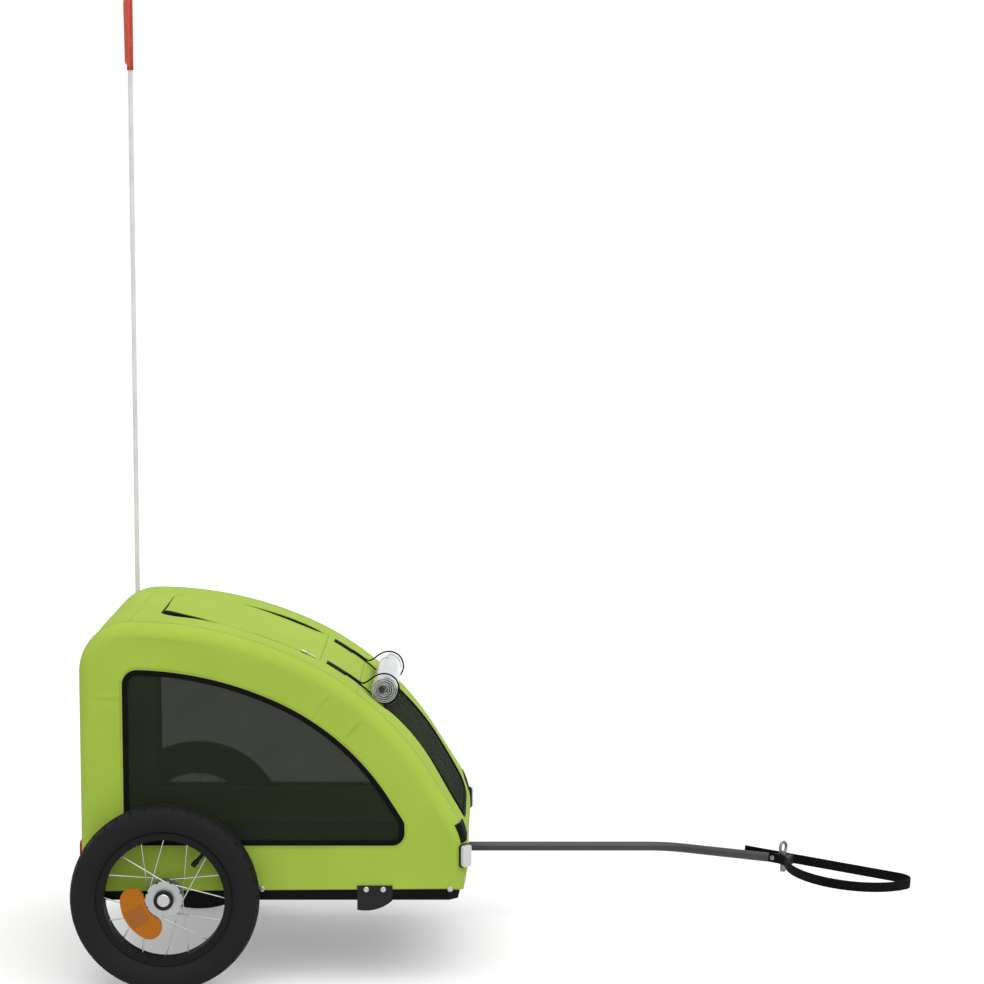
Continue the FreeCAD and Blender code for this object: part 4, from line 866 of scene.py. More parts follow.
def shrinking_rings(loop: Array, count: int, heart: float = 0.015) -> Array:
    """Rings shrinking from a pane's outline to its middle.

    Args:
        loop: outline in flat coordinates, counter-clockwise.
        count: number of rings.
        heart: size of the last ring against the outline.

    Returns:
        For each point its two flat coordinates and its ring's size against the outline.
    """
    centre = loop.mean(0)
    share = np.linspace(1, heart, count)[:, None, None]
    flat = centre + (loop - centre)[None] * share
    return stacked(flat[..., 0], flat[..., 1], share[..., 0])


def ringed_pane(name: str, rings: Array, surface: Shape) -> bpy.types.Object:
    """A filled pane of shrinking rings, laid on a surface and facing away from the cabin's middle."""
    points = surface(rings)
    rows, columns = points.shape[:2]
    faces = grid_faces(rows, columns, closed=True)
    turned = away_from_middle(points, faces)
    last = list(range((rows - 1) * columns, rows * columns))
    caps = [last if turned is faces else last[::-1]]
    return make_piece(name, points, turned, rings[..., :2], caps)


@dataclass
class SidePanel:
    """One side of the cover: a flat field round the window, then the rounded edge up to the roof."""

    side: Side
    finish: Palette
    half_width: float = CABIN_HALF
    edge: float = EDGE_RADIUS
    window_inset: float = 0.075
    window_rear: float = 0.066
    window_front: float = 0.377
    sill: float = 0.228
    top_corner: float = 0.022
    rear_corner: float = 0.009
    front_corner: float = 0.018
    step: float = 0.003
    arc_steps: int = 120
    corner_steps: int = 16
    over: int = 430
    under: int = 150
    field_rows: int = 44
    edge_rows: int = 22
    mesh_rings: int = 28
    mesh_heart: float = 0.02
    mesh_gap: float = 0.0004
    mesh_sag: float = 0.0016
    tape_inset: float = 0.0026
    tape_lift: float = 0.0002
    tape_width: float = 0.0086
    tape_height: float = 0.0028
    stitch_out: float = 0.0050
    folds: Folds = Folds(0.0008, (
        (-0.2840, 0.4630, 54.5, 0.017, 0.0021),
        (-0.2375, 0.4180, 50.0, 0.021, 0.0025),
        (-0.6340, 0.4660, 0.0, 0.031, 0.0011),
        (-0.6015, 0.5010, 90.0, 0.024, 0.0011),
        (-0.2100, 0.2600, 60.0, 0.030, 0.0009),
    ))

    def window_loop(self, grow: float = 0.0) -> Array:
        """Outline of the window opening in x and z, grown by a margin.

        The sill, an upright front edge and the screen's line have rounded corners between them.
        The roof and brow arcs moved in by the inset follow, and a small arc whose middle lies a
        radius from the rear edge and from the roof arc closes the loop.

        Args:
            grow: margin, outwards where it is positive.

        Returns:
            Dense points, counter-clockwise seen from the right.
        """
        rear, front, sill = -self.window_rear - grow, self.window_front + grow, self.sill - grow
        inset = self.window_inset - grow
        roof, brow = OUTLINE.roof_radius - inset, OUTLINE.brow_radius - inset
        roof_centre, brow_centre = OUTLINE.centre(2), OUTLINE.centre(3)
        turn, slope = math.radians(OUTLINE.roof_turn), math.radians(OUTLINE.screen_slope)
        screen_top = brow_centre + brow * np.array([math.sin(slope), math.cos(slope)])
        drop = (front - screen_top[0]) * math.tan(slope)
        small = self.top_corner + grow
        across = rear + small - roof_centre[0]
        rise = math.sqrt((roof - small) ** 2 - across ** 2)
        small_centre = roof_centre + np.array([across, rise])
        corners = np.array([[rear, sill], [front, sill], [front, screen_top[1] - drop], screen_top,
                            [rear, small_centre[1]]])
        radii = (self.rear_corner + grow, self.front_corner + grow, self.front_corner + grow, 0, 0)
        straight = np.split(rounded_loop(corners, radii), 5)[:3]

        def arc(centre: Array, radius: float, start: float, end: float, count: int) -> Array:
            """Arc about a centre, its angles counted from upright towards the front."""
            angle = np.linspace(start, end, count)
            return centre + radius * stacked(np.sin(angle), np.cos(angle))

        touch = math.atan2(across, rise)
        loop = np.concatenate([*straight, arc(brow_centre, brow, slope, turn, self.arc_steps),
                               arc(roof_centre, roof, turn, touch, self.arc_steps)[1:],
                               arc(small_centre, small, touch, -math.pi / 2, self.corner_steps)[1:]])
        return dense(loop + (OUTLINE.axle_x, 0), self.step)

    def outer_loop(self) -> tuple[Array, Array]:
        """Boundary of the flat field: inset points of the outline and their normals."""
        x, z, normal_x, normal_z = OUTLINE.at(np.linspace(0, OUTLINE.length, self.over))
        normal = stacked(normal_x, normal_z)
        return stacked(x, z) - self.edge * normal, normal

    def canvas(self) -> None:
        """Build the green panel.

        The field is ruled between the window outline and the inset cabin outline, along rays from
        the window's middle. The edge turns a quarter circle: out by R sin t, in by R (1 - cos t).
        """
        sign = self.side.value
        rim, normal = self.outer_loop()
        toe, foot = rim[-1], rim[0]
        hem = toe + (foot - toe) * np.linspace(0, 1, self.under + 2)[1:-1, None]
        outer = np.concatenate([rim, hem])[::-1]
        window = self.window_loop()
        centre = window.mean(0)
        inner = ray_hits(window, centre, bearing(outer, centre))
        share = np.linspace(0, 1, self.field_rows)[:, None, None]
        flat = inner * (1 - share) + outer * share
        calm = np.sin(math.pi * share[..., 0]) ** 0.5
        lift = self.folds.lift(flat[..., 0], flat[..., 1]) * calm
        field = stacked(flat[..., 0], sign * (self.half_width + lift), flat[..., 1])
        angle = np.linspace(0, math.pi / 2, self.edge_rows + 1)[1:, None]
        out = rim[::-1][None] + (self.edge * np.sin(angle))[..., None] * normal[::-1][None]
        depth = self.half_width - self.edge * (1 - np.cos(angle))
        edge = stacked(out[..., 0], sign * depth, out[..., 1])
        rolled = rim[::-1][None] + (self.edge * angle)[..., None] * normal[::-1][None]
        columns = flat.shape[1]
        start = self.field_rows * columns
        last = start - self.over
        here = np.arange(self.over - 1)
        join = np.stack([last + here, last + here + 1, start + here + 1, start + here], axis=1)
        faces = np.concatenate([grid_faces(self.field_rows, columns, closed=True), join,
                                grid_faces(self.edge_rows, self.over, start=start)])
        uv = np.concatenate([flat.reshape(-1, 2), rolled.reshape(-1, 2)])
        points = np.concatenate([field.reshape(-1, 3), edge.reshape(-1, 3)])
        faces = facing(points, faces, (0, sign, 0))
        piece = thicken(make_piece(f"canvas_{self.side.word}", points, faces, uv), CANVAS_WALL)
        dress(piece, self.finish.canvas, "cabin", "green_canvas", f"cover_{self.side.word}")

    def mesh_surface(self, flat: Array) -> Array:
        """Place of the window's mesh, behind the canvas and sagging inwards at its middle."""
        sag = self.mesh_sag * (1 - flat[..., 2] ** 2)
        return stacked(flat[..., 0], self.side.value * (self.half_width - MESH_WALL - sag), flat[..., 1])

    def window(self) -> None:
        """Build the mesh pane: rings shrinking from the opening's outline to its middle."""
        rings = shrinking_rings(self.window_loop(-self.mesh_gap), self.mesh_rings, self.mesh_heart)
        piece = ringed_pane(f"window_mesh_{self.side.word}", rings, self.mesh_surface)
        thicken(piece, MESH_WALL)
        dress(piece, self.finish.mesh, "cabin", "black_mesh", f"window_{self.side.word}")

    def round_window(self, grow: float) -> tuple[Array, Array]:
        """A path on the canvas round the window, and the way off the cloth at each of its points."""
        loop = self.window_loop(grow)
        path = stacked(loop[:, 0], self.side.value * (self.half_width + self.tape_lift), loop[:, 1])
        return path, np.tile([0.0, float(self.side.value), 0.0], (len(path), 1))

    def binding(self) -> None:
        """Build the black tape round the window, a low rounded section along its outline."""
        path, up = self.round_window(-self.tape_inset)
        piece = swept(f"window_binding_{self.side.word}", path, np.cross(loop_direction(path), up), up,
                      rounded_section(self.tape_width, self.tape_height, power=3), closed=True)
        dress(piece, self.finish.tape, "cabin", "black_tape", "window_bindings")

    def stitches(self) -> None:
        """Sew a row of stitches into the canvas round the window."""
        piece = stitch_row(f"window_stitches_{self.side.word}", *self.round_window(self.stitch_out))
        dress(piece, self.finish.thread, "cabin", "green_canvas")

    def build(self) -> None:
        """Build every piece of this side."""
        self.canvas()
        self.window()
        self.binding()
        self.stitches()


@dataclass(frozen=True)
class FlapSlack:
    """How the roof flap lies in its opening: tight at its hinge, slack round its right rear corner.

    Each method takes the distances of flat points from the opening's rear, front, right and left
    edges. Gaps open within a reach of an edge and fade out along it between two distances.
    """

    gap: float = 0.0014
    hinge_fade: tuple[float, float] = (0.001, 0.012)
    edge_reach: float = 0.045
    right_gap: float = 0.0046
    right_fade: tuple[float, float] = (0.055, 0.115)
    rear_gap: float = 0.0042
    rear_fade: tuple[float, float] = (0.02, 0.2)
    left_gap: float = 0.0013
    left_reach: float = 0.02
    left_spot: float = 0.060
    left_spread: float = 0.075
    curl: float = 0.0088
    curl_back: float = 0.074
    curl_aside: float = 0.050
    sunk: float = 0.0036
    sunk_spot: float = 0.070
    sunk_spread: float = 0.080
    sunk_aside: float = 0.022
    sunk_fade: float = 0.03
    sag: float = 0.002

    def opening(self, rear: Array, front: Array, right: Array, left: Array) -> Array:
        """Gap between opening and flap: narrow, but wide round the slack right rear corner."""
        near = (1 - smooth_step(right, 0, self.edge_reach)) * (1 - smooth_step(rear, *self.right_fade))
        back = (1 - smooth_step(rear, 0, self.edge_reach)) * (1 - smooth_step(right, *self.rear_fade))
        far = np.exp(-((front - self.left_spot) / self.left_spread) ** 2)
        far = (1 - smooth_step(left, 0, self.left_reach)) * far
        even = self.gap * smooth_step(front, *self.hinge_fade)
        return even + self.right_gap * near + self.rear_gap * back + self.left_gap * far

    def lift(self, rear: Array, front: Array, right: Array, left: Array) -> Array:
        """Height of the flap over the roof: its right rear corner curls up, its left front edge sinks."""
        curl = self.curl * np.exp(-(rear / self.curl_back) ** 2) * np.exp(-(right / self.curl_aside) ** 2)
        sunk = self.sunk * np.exp(-((front - self.sunk_spot) / self.sunk_spread) ** 2)
        sunk = sunk * np.exp(-(left / self.sunk_aside) ** 2)
        return curl - sunk * smooth_step(front, 0, self.sunk_fade)

    def hang(self, rear: Array, front: Array, right: Array, left: Array) -> Array:
        """How far the flap hangs in, a half wave each way: sag * sin(pi s) * sin(pi t)."""
        along, across = rear / (rear + front), right / (right + left)
        return self.sag * np.sin(math.pi * along) * np.sin(math.pi * across)


@dataclass
class MiddleCover:
    """Rear, top and front of the cover: the outline carried across, with the hatch and door cut out.

    Flat coordinates are the distance along the outline and the distance across. The door and its
    opening run higher than the frame's own by door_rise, up to the rain roll.
    """

    finish: Palette
    half_width: float = CABIN_HALF - EDGE_RADIUS
    edge: float = EDGE_RADIUS
    top_seam: float = 0.303
    hatch_rear: float = -0.020
    hatch_front: float = 0.240
    hatch_width: float = 0.250
    hatch_corner: float = 0.042
    hatch_front_corner: float = 0.002
    hatch_slit: float = 0.0002
    flap_rings: int = 44
    zip_wall: float = 0.0006
    zip_start: float = 0.003
    zip_length: float = 0.7
    zip_width: float = 0.014
    pull_back: float = 0.026
    pull_lift: float = 0.0006
    door_sill: float = 0.241
    door_length: float = 0.218
    door_rise: float = 0.014
    door_width: float = 0.240
    door_corner: float = 0.046
    door_top_corner: float = 0.003
    door_slope: float = 56.0
    net_gaps: tuple[float, float] = (0.0012, 0.0026)
    net_rings: int = 30
    net_swell: float = 0.001
    tape_gaps: tuple[float, float] = (0.0045, 0.0060)
    tape_lift: float = 0.0004
    tape_width: float = 0.0092
    tape_height: float = 0.0030
    bulge: float = 0.0065
    bulge_drop: float = 1.36
    bulge_power: float = 1.5
    roll_slope: float = 41.8
    roll_dent: float = 0.0060
    dent_half: float = 0.138
    dent_fade: float = 0.02
    dent_width: float = 0.021
    seam_calm: float = 0.03
    hinge_calm: tuple[float, float] = (0.004, 0.03)
    patch_inner: float = 0.150
    patch_low: float = 0.231
    patch_high: float = 0.262
    patch_rise: float = 0.008
    patch_round_share: float = 0.9
    patch_lift: float = 0.0013
    patch_wall: float = 0.0011
    stitch_margin: float = 0.004
    stitch_inset: float = 0.005
    stitch_lift: float = 0.0002
    seam_steps: int = 900
    step: float = 0.0035
    rows: int = 30
    plain_rows: int = 150
    plain_columns: int = 110
    folds: Folds = Folds(0.0009)
    slack: FlapSlack = FlapSlack()

    @property
    def seam_run(self) -> float:
        """Distance along the outline of the seam between top and front."""
        return OUTLINE.distance_at_x(self.top_seam)

    def hatch_loop(self, front_gap: float = 0.0) -> Array:
        """Outline of the hatch, round at its rear corners, drawn in at its front by a gap."""
        rear = OUTLINE.distance_at_x(self.hatch_rear)
        front = OUTLINE.distance_at_x(self.hatch_front) - front_gap
        half = self.hatch_width / 2
        corners = np.array([[rear, -half], [front, -half], [front, half], [rear, half]])
        radii = (self.hatch_corner, self.hatch_front_corner, self.hatch_front_corner, self.hatch_corner)
        return dense(rounded_loop(corners, radii), self.step)

    def door_runs(self, samples: int = 6000) -> tuple[float, float]:
        """Distances along the outline of the door's upper edge and its sill."""
        knots = OUTLINE.knots()
        run = np.linspace(knots[3], OUTLINE.length, samples)
        x, z, _, _ = OUTLINE.at(run)
        nose = run > knots[4]
        sill = float(np.interp(-self.door_sill, -z[nose], run[nose]))
        slope = math.radians(self.door_slope)
        sill_x, sill_z, _, _ = OUTLINE.at(np.array([sill]))
        climb = (sill_x - x) * math.cos(slope) + (z - sill_z) * math.sin(slope)
        top = float(np.interp(-self.door_length, -climb, run))
        return top - self.door_rise, sill

    def door_loop(self, gap: float = 0.0, sill_gap: float = 0.0) -> Array:
        """Outline of the door, round at its lower corners, drawn in by a gap."""
        top, sill = self.door_runs()
        top, sill = top + gap, sill - sill_gap
        half = self.door_width / 2 - gap
        corners = np.array([[top, -half], [sill, -half], [sill, half], [top, half]])
        low_corner = self.door_corner - gap
        radii = (self.door_top_corner, low_corner, low_corner, self.door_top_corner)
        return dense(rounded_loop(corners, radii), self.step)

    def stand_off(self, run: Array, across: Array) -> Array:
        """How far the cloth stands out from the outline.

        The front swells by sin(pi t^a)^p from its top seam down to the door's sill and as a cosine
        across, and under the rain roll the cloth gives way by exp(-d^2/w^2).

        Args:
            run: distance along the outline.
            across: distance across.

        Returns:
            Metres outwards.
        """
        down = np.clip((run - self.seam_run) / (self.door_runs()[1] - self.seam_run), 0, 1)
        wide = np.cos(0.5 * math.pi * np.clip(np.abs(across) / self.half_width, 0, 1))
        wave = np.maximum(0, np.sin(math.pi * down ** self.bulge_drop))
        swell = self.bulge * wave ** self.bulge_power * wide
        turn = math.radians(self.roll_slope - OUTLINE.roof_turn)
        rest = OUTLINE.knots()[3] + OUTLINE.brow_radius * turn
        under = smooth_step(self.dent_half - np.abs(across), 0.0, self.dent_fade)
        return swell - self.roll_dent * np.exp(-((run - rest) / self.dent_width) ** 2) * under

    def surface(self, flat: Array) -> Array:
        """Place of flat points on the cloth, its unevenness fading at seams and the hatch's hinge."""
        run, across = flat[..., 0], flat[..., 1]
        hinge = OUTLINE.distance_at_x(self.hatch_front)
        calm = smooth_step(self.half_width - np.abs(across), 0.0, self.seam_calm)
        calm = calm * smooth_step(np.abs(run - hinge), *self.hinge_calm)
        lift = self.folds.lift(run, across) * calm + self.stand_off(run, across)
        return OUTLINE.place(run, across, lift)

    def sew(self, name: str, flat: Array, closed: bool, node: str) -> None:
        """Lay a cut panel on the cabin's form and let it stand for its frame node."""
        points = self.surface(flat)
        faces = away_from_middle(points, grid_faces(*flat.shape[:2], closed=closed))
        piece = thicken(make_piece(name, points, faces, flat), CANVAS_WALL)
        dress(piece, self.finish.canvas, "cabin", "green_canvas", node)

    def holed_panel(self, name: str, low: float, high: float, hole: Array, node: str) -> None:
        """A panel ruled from a hole's outline to its straight edges, along rays from the hole's middle."""
        centre = hole.mean(0)
        rim = perimeter((low, -self.half_width), (high, self.half_width), self.step)
        outer = np.concatenate([rim, ray_hits(rim, centre, bearing(hole, centre))])
        _, first = np.unique(np.round(bearing(outer, centre), 4), return_index=True)
        outer = outer[first]
        inner = ray_hits(hole, centre, bearing(outer, centre))
        share = np.linspace(0, 1, self.rows)[:, None, None]
        self.sew(name, inner * (1 - share) + outer * share, True, node)

    def plain_panel(self, name: str, low: float, high: float, node: str) -> None:
        """A panel without openings."""
        run = np.linspace(low, high, self.plain_rows)[:, None]
        across = np.linspace(-self.half_width, self.half_width, self.plain_columns)[None]
        self.sew(name, stacked(run, across), False, node)

    def hatch(self) -> None:
        """Build the roof flap, the zip tape along its three free edges and the zip's pull."""
        opening = self.hatch_loop(self.hatch_slit)
        flap = self.drawn_in(opening, self.slack.opening(*self.hatch_spots(opening)))
        rings = shrinking_rings(flap, self.flap_rings)
        piece = ringed_pane("hatch_flap_cloth", rings, self.flap_surface)
        thicken(piece, CANVAS_WALL)
        dress(piece, self.finish.canvas, "hatch", "green_canvas", "hatch_flap")
        band = thicken(self.hatch_tape(opening), self.zip_wall)
        dress(band, self.finish.tape, "hatch", "black_tape", "hatch_zip")
        self.zip_pull()

    @staticmethod
    def drawn_in(loop: Array, gap: Array) -> Array:
        """A counter-clockwise loop moved inwards by a gap, along normals evened over its neighbours."""
        along = loop_direction(loop, 3)
        return loop + stacked(-along[:, 1], along[:, 0]) * gap[:, None]

    def hatch_spots(self, flat: Array) -> tuple[Array, Array, Array, Array]:
        """Distances of flat points from the hatch's rear, front, right and left edges."""
        rear, front = (OUTLINE.distance_at_x(x) for x in (self.hatch_rear, self.hatch_front))
        half = self.hatch_width / 2
        return flat[..., 0] - rear, front - flat[..., 0], flat[..., 1] + half, half - flat[..., 1]

    def flap_surface(self, flat: Array) -> Array:
        """Place of the flap's cloth, curled at its slack corner and sagging a little at its middle."""
        spots = self.hatch_spots(flat)
        return OUTLINE.place(flat[..., 0], flat[..., 1], self.slack.lift(*spots) - self.slack.hang(*spots))

    def hatch_tape(self, opening: Array) -> bpy.types.Object:
        """The zip tape: a band from the opening's edge to the flap's and on under the flap.

        Each of its rows lies at the opening's edge or follows the flap's, a little further in and
        a little deeper than the row before.
        """
        rows = ((0.0, 0.0005, 0.0012), (1.0, 0.0004, 0.0020), (1.0, 0.007, 0.0024), (1.0, 0.013, 0.0026))
        line = np.roll(opening, -int(np.argmax(opening[:, 0] + opening[:, 1])), axis=0)
        free = line[self.hatch_spots(line)[1] > self.zip_start]
        gap = self.slack.opening(*self.hatch_spots(free))
        along = unit(np.gradient(free, axis=0))
        inward = stacked(-along[:, 1], along[:, 0])
        places = []
        for follow, depth, drop in rows:
            flat = free + inward * (follow * gap + depth)[:, None]
            lift = follow * self.slack.lift(*self.hatch_spots(flat))
            places.append(OUTLINE.place(flat[:, 0], flat[:, 1], lift - drop))
        points = np.stack(places)
        faces = away_from_middle(points, grid_faces(*points.shape[:2]))
        run = np.linspace(0, self.zip_length, points.shape[1])[None]
        across = np.linspace(0, self.zip_width, len(rows))[:, None]
        return make_piece("hatch_zip_tape", points, faces, stacked(run, across))

    def zip_pull(self) -> None:
        """Build the zip's slider and its tab, two rounded blocks lying on the right edge of the hatch."""
        seat = np.array([OUTLINE.distance_at_x(self.hatch_front - self.pull_back), -self.hatch_width / 2])
        steel = Coating("zip_metal", (0.66, 0.66, 0.63), 0.3, metal=1.0).material()
        for name, shift, size in (("zip_slider", (0.0, 0.0), (0.011, 0.007, 0.0032)),
                                  ("zip_tab", (0.012, 0.0015), (0.018, 0.005, 0.0014))):
            run, across = seat + shift
            normal = OUTLINE.normal(np.array([run]))[0]
            ahead = np.array([normal[2], 0, -normal[0]])
            middle = OUTLINE.place(np.array([run]), across)[0] + normal * (size[2] / 2 + self.pull_lift)
            piece = pebble(name, middle, np.stack([ahead, (0, 1, 0), normal]), size)
            dress(piece, steel, "hatch", "bright_steel")

    def door(self) -> None:
        """Build the mesh door, swelling with the front, and the rounded tape round it."""
        rings = shrinking_rings(self.door_loop(*self.net_gaps), self.net_rings)
        piece = ringed_pane("door_net", rings, self.door_surface)
        dress(thicken(piece, MESH_WALL), self.finish.mesh, "front_door", "black_mesh", "door_mesh")
        run, across = self.door_loop(*self.tape_gaps).T
        path = OUTLINE.place(run, across, self.stand_off(run, across) + self.tape_lift)
        up = OUTLINE.normal(run)
        piece = swept("door_tape", path, unit(np.cross(loop_direction(path), up)), up,
                      rounded_section(self.tape_width, self.tape_height, power=3), closed=True)
        dress(piece, self.finish.tape, "front_door", "black_tape", "door_binding")

    def door_surface(self, flat: Array) -> Array:
        """Place of the door's mesh: with the front cloth, pushed out a little at its middle."""
        run, across, ring = np.moveaxis(flat, -1, 0)
        swell = self.stand_off(run, across) + self.net_swell * (1 - ring ** 2)
        return OUTLINE.place(run, across, swell - MESH_WALL)

    def corner_place(self, run: Array, side: Side, across: Array, lift: float) -> Array:
        """Place over the front and round its side edge.

        Past the flat width the cloth turns by t = (across - width) / edge: out by edge sin t,
        back by edge (1 - cos t), and the normal turns with it.

        Args:
            run: distance along the outline.
            side: the trailer's side.
            across: distance from the middle along the cloth.
            lift: height over the cloth.

        Returns:
            Points, three numbers each.
        """
        x, z, normal_x, normal_z = OUTLINE.at(run)
        turn = np.clip((across - self.half_width) / self.edge, 0, math.pi / 2)
        flat = np.minimum(across, self.half_width)
        out = self.stand_off(run, flat) - self.edge * (1 - np.cos(turn)) + lift * np.cos(turn)
        aside = flat + (self.edge + lift) * np.sin(turn)
        return stacked(x + out * normal_x, side.value * aside, z + out * normal_z)

    def corner_patches(self) -> None:
        """Build the black patch sewn round each front corner, its upper edge rising outwards."""
        samples, columns, rows = 3000, 46, 18
        run = np.linspace(OUTLINE.knots()[4], OUTLINE.length, samples)
        height = OUTLINE.at(run)[1]
        outer = self.half_width + self.patch_round_share * self.edge
        across = np.linspace(self.patch_inner, outer, columns)[None]
        share = (across - across.min()) / np.ptp(across)
        top = np.interp(-(self.patch_high - self.patch_rise * (1 - share)), -height, run)
        low = np.interp(-self.patch_low, -height, run)
        down = np.linspace(0, 1, rows)[:, None]
        spots = top * (1 - down) + low * down
        for side in Side:
            points = self.corner_place(spots, side, across, self.patch_lift)
            faces = away_from_middle(points, grid_faces(rows, columns))
            piece = make_piece(f"corner_patch_{side.word}", points, faces, stacked(spots, across))
            thicken(piece, self.patch_wall)
            dress(piece, self.finish.webbing, "cabin", "black_tape", "front_patch")

    def stitches(self) -> None:
        """Sew a row of stitches along each side seam of the middle panels."""
        run = np.linspace(self.stitch_margin, OUTLINE.length - self.stitch_margin, self.seam_steps)
        up = OUTLINE.normal(run)
        for side in Side:
            row = stacked(run, side.value * (self.half_width - self.stitch_inset))
            piece = stitch_row(f"seam_stitches_{side.word}", self.surface(row) + self.stitch_lift * up, up)
            dress(piece, self.finish.thread, "cabin", "green_canvas")

    def build(self) -> None:
        """Build every piece of the middle cover."""
        knots = OUTLINE.knots()
        self.plain_panel("canvas_rear", 0.0, knots[2], "cover_rear")
        self.holed_panel("canvas_top", knots[2], self.seam_run, self.hatch_loop(), "cover_top")
        self.holed_panel("canvas_front", self.seam_run, OUTLINE.length, self.door_loop(), "cover_front")
        self.hatch()
        self.door()
        self.corner_patches()
        self.stitches()


@dataclass
class RainRoll:
    """Clear rain film rolled up over the door, tied by an elastic cord from a tab on each side."""

    finish: Palette
    centre: tuple[float, float] = (OUTLINE.axle_x + 0.3426, 0.4597)
    radius: float = 0.0228
    turns: float = 4.5
    pitch: float = 0.0034
    length: float = 0.244
    film: float = 0.0009
    wobble: float = 0.0004
    wobble_waves: tuple[float, float] = (41.0, 5.0)
    wobble_start: float = 0.6
    turn_steps: int = 56
    length_steps: int = 60
    lane: float = 0.108
    tab_rear: float = 0.250
    tab_length: float = 0.032
    tab_stretch_share: float = 1.12
    tab_width: float = 0.0235
    tab_thickness: float = 0.0022
    tab_lift: float = 0.0011
    tab_steps: int = 20
    cord: float = 0.0026
    cord_clearance: float = 0.0004
    cord_tuck: float = 0.004
    cord_drift: float = -0.003
    leave_runs: tuple[float, ...] = (0.0, 0.010, 0.026, 0.038)
    leave_lifts: tuple[float, ...] = (0.0024, 0.0032, 0.0030, 0.0042)
    ring_angles: tuple[float, ...] = (118.0, 77.0, 36.5, -8.5, -53.5, -98.5)
    back_runs: tuple[float, ...] = (0.060, 0.038, 0.016, 0.0)
    back_lifts: tuple[float, ...] = (0.0002, 0.0013, 0.0016, 0.0014)

    def developed(self, turn: Array | float) -> Array | float:
        """Film length in the outer turns: 2 pi (radius * turns - pitch * turns^2 / 2)."""
        return 2 * math.pi * (self.radius * turn - self.pitch * turn ** 2 / 2)

    def roll(self) -> None:
        """Build the film: radius = outer - pitch * turns, with a slow wobble along its length."""
        turn = np.linspace(0, self.turns, int(self.turns * self.turn_steps))[None]
        across = np.linspace(-self.length / 2, self.length / 2, self.length_steps)[:, None]
        wave = np.sin(self.wobble_waves[0] * across + self.wobble_waves[1] * turn)
        wobble = self.wobble * wave * smooth_step(turn, 0, self.wobble_start)
        radius = self.radius - self.pitch * turn + wobble
        angle = 2 * math.pi * turn + 0.5 * math.pi
        x, z = self.centre
        points = stacked(x - radius * np.cos(angle), across, z + radius * np.sin(angle))
        faces = grid_faces(*points.shape[:2])
        outward = (points.reshape(-1, 3)[faces[:, 0]] - (x, 0, z)) * (1, 0, 1)
        flat = stacked(self.developed(turn), across)
        piece = make_piece("rain_film", points, facing(points, faces, outward), flat)
        dress(thicken(piece, self.film), self.finish.film, "cabin", "clear_film", "rain_roll")
        self.length

    def tab_runs(self) -> tuple[float, float]:
        """Distances along the outline of a tab's rear and front ends."""
        start = OUTLINE.distance_at_x(self.tab_rear)
        return start, start + self.tab_length * self.tab_stretch_share

    def tab(self, lane: float, side: Side) -> bpy.types.Object:
        """Build a short webbing tab sewn on the roof."""
        run = np.linspace(*self.tab_runs(), self.tab_steps)
        path = OUTLINE.place(run, lane, self.tab_lift)
        across = np.tile([0.0, 1.0, 0.0], (len(run), 1))
        return swept(f"roll_tab_{side.word}", path, across, OUTLINE.normal(run),
                     rounded_section(self.tab_width, self.tab_thickness), closed=False)

    def cord_route(self, lane: float) -> Array:
        """Route of an elastic: slack from its tab, over and round the roll, then back along the roof.

        Round the roll the points are corners of an octagon whose sides touch the cord's circle.
        """
        exit_run = self.tab_runs()[1] - self.cord_tuck
        leave, back = (OUTLINE.place(exit_run + np.array(runs), 0.0, np.array(lifts))[:, ::2]
                       for runs, lifts in ((self.leave_runs, self.leave_lifts),
                                           (self.back_runs, self.back_lifts)))
        angle = np.radians(np.array(self.ring_angles))
        reach = (self.radius + self.cord / 2 + self.cord_clearance) / math.cos(math.pi / 8)
        turn = np.array(self.centre) + reach * stacked(np.cos(angle), np.sin(angle))
        flat = np.concatenate([leave, turn, back])
        return stacked(flat[:, 0], lane + np.linspace(0.0, self.cord_drift, len(flat)), flat[:, 1])

    def cord_piece(self, lane: float, side: Side) -> None:
        """Build an elastic as a round curve with its route's points for control points."""
        route = self.cord_route(lane)
        data = bpy.data.curves.new(f"elastic_{side.word}", "CURVE")
        data.dimensions = "3D"
        spline = data.splines.new("NURBS")
        spline.points.add(len(route) - 1)
        weighted = np.column_stack([route, np.ones(len(route))])
        spline.points.foreach_set("co", weighted.astype(np.float32).ravel())
        spline.order_u = 3
        spline.use_endpoint_u = True
        spline.resolution_u = 10
        piece = bpy.data.objects.new(data.name, data)
        bpy.context.scene.collection.objects.link(piece)
        line = bpy.data.meshes.new_from_object(piece)
        spots = np.zeros(len(line.vertices) * 3, np.float32)
        line.vertices.foreach_get("co", spots)
        bpy.data.meshes.remove(line)
        data.bevel_depth = self.cord / 2
        data.bevel_resolution = 4
        data.use_fill_caps = True
        dress(piece, self.finish.elastic, "cabin", "black_tape", "roll_cords")

    def build(self) -> None:
        """Build the roll, its tabs and its cords."""
        self.roll()
        for side in Side:
            lane = side.value * self.lane
            dress(self.tab(lane, side), self.finish.webbing, "cabin", "black_tape", "roll_tabs")
            self.cord_piece(lane, side)


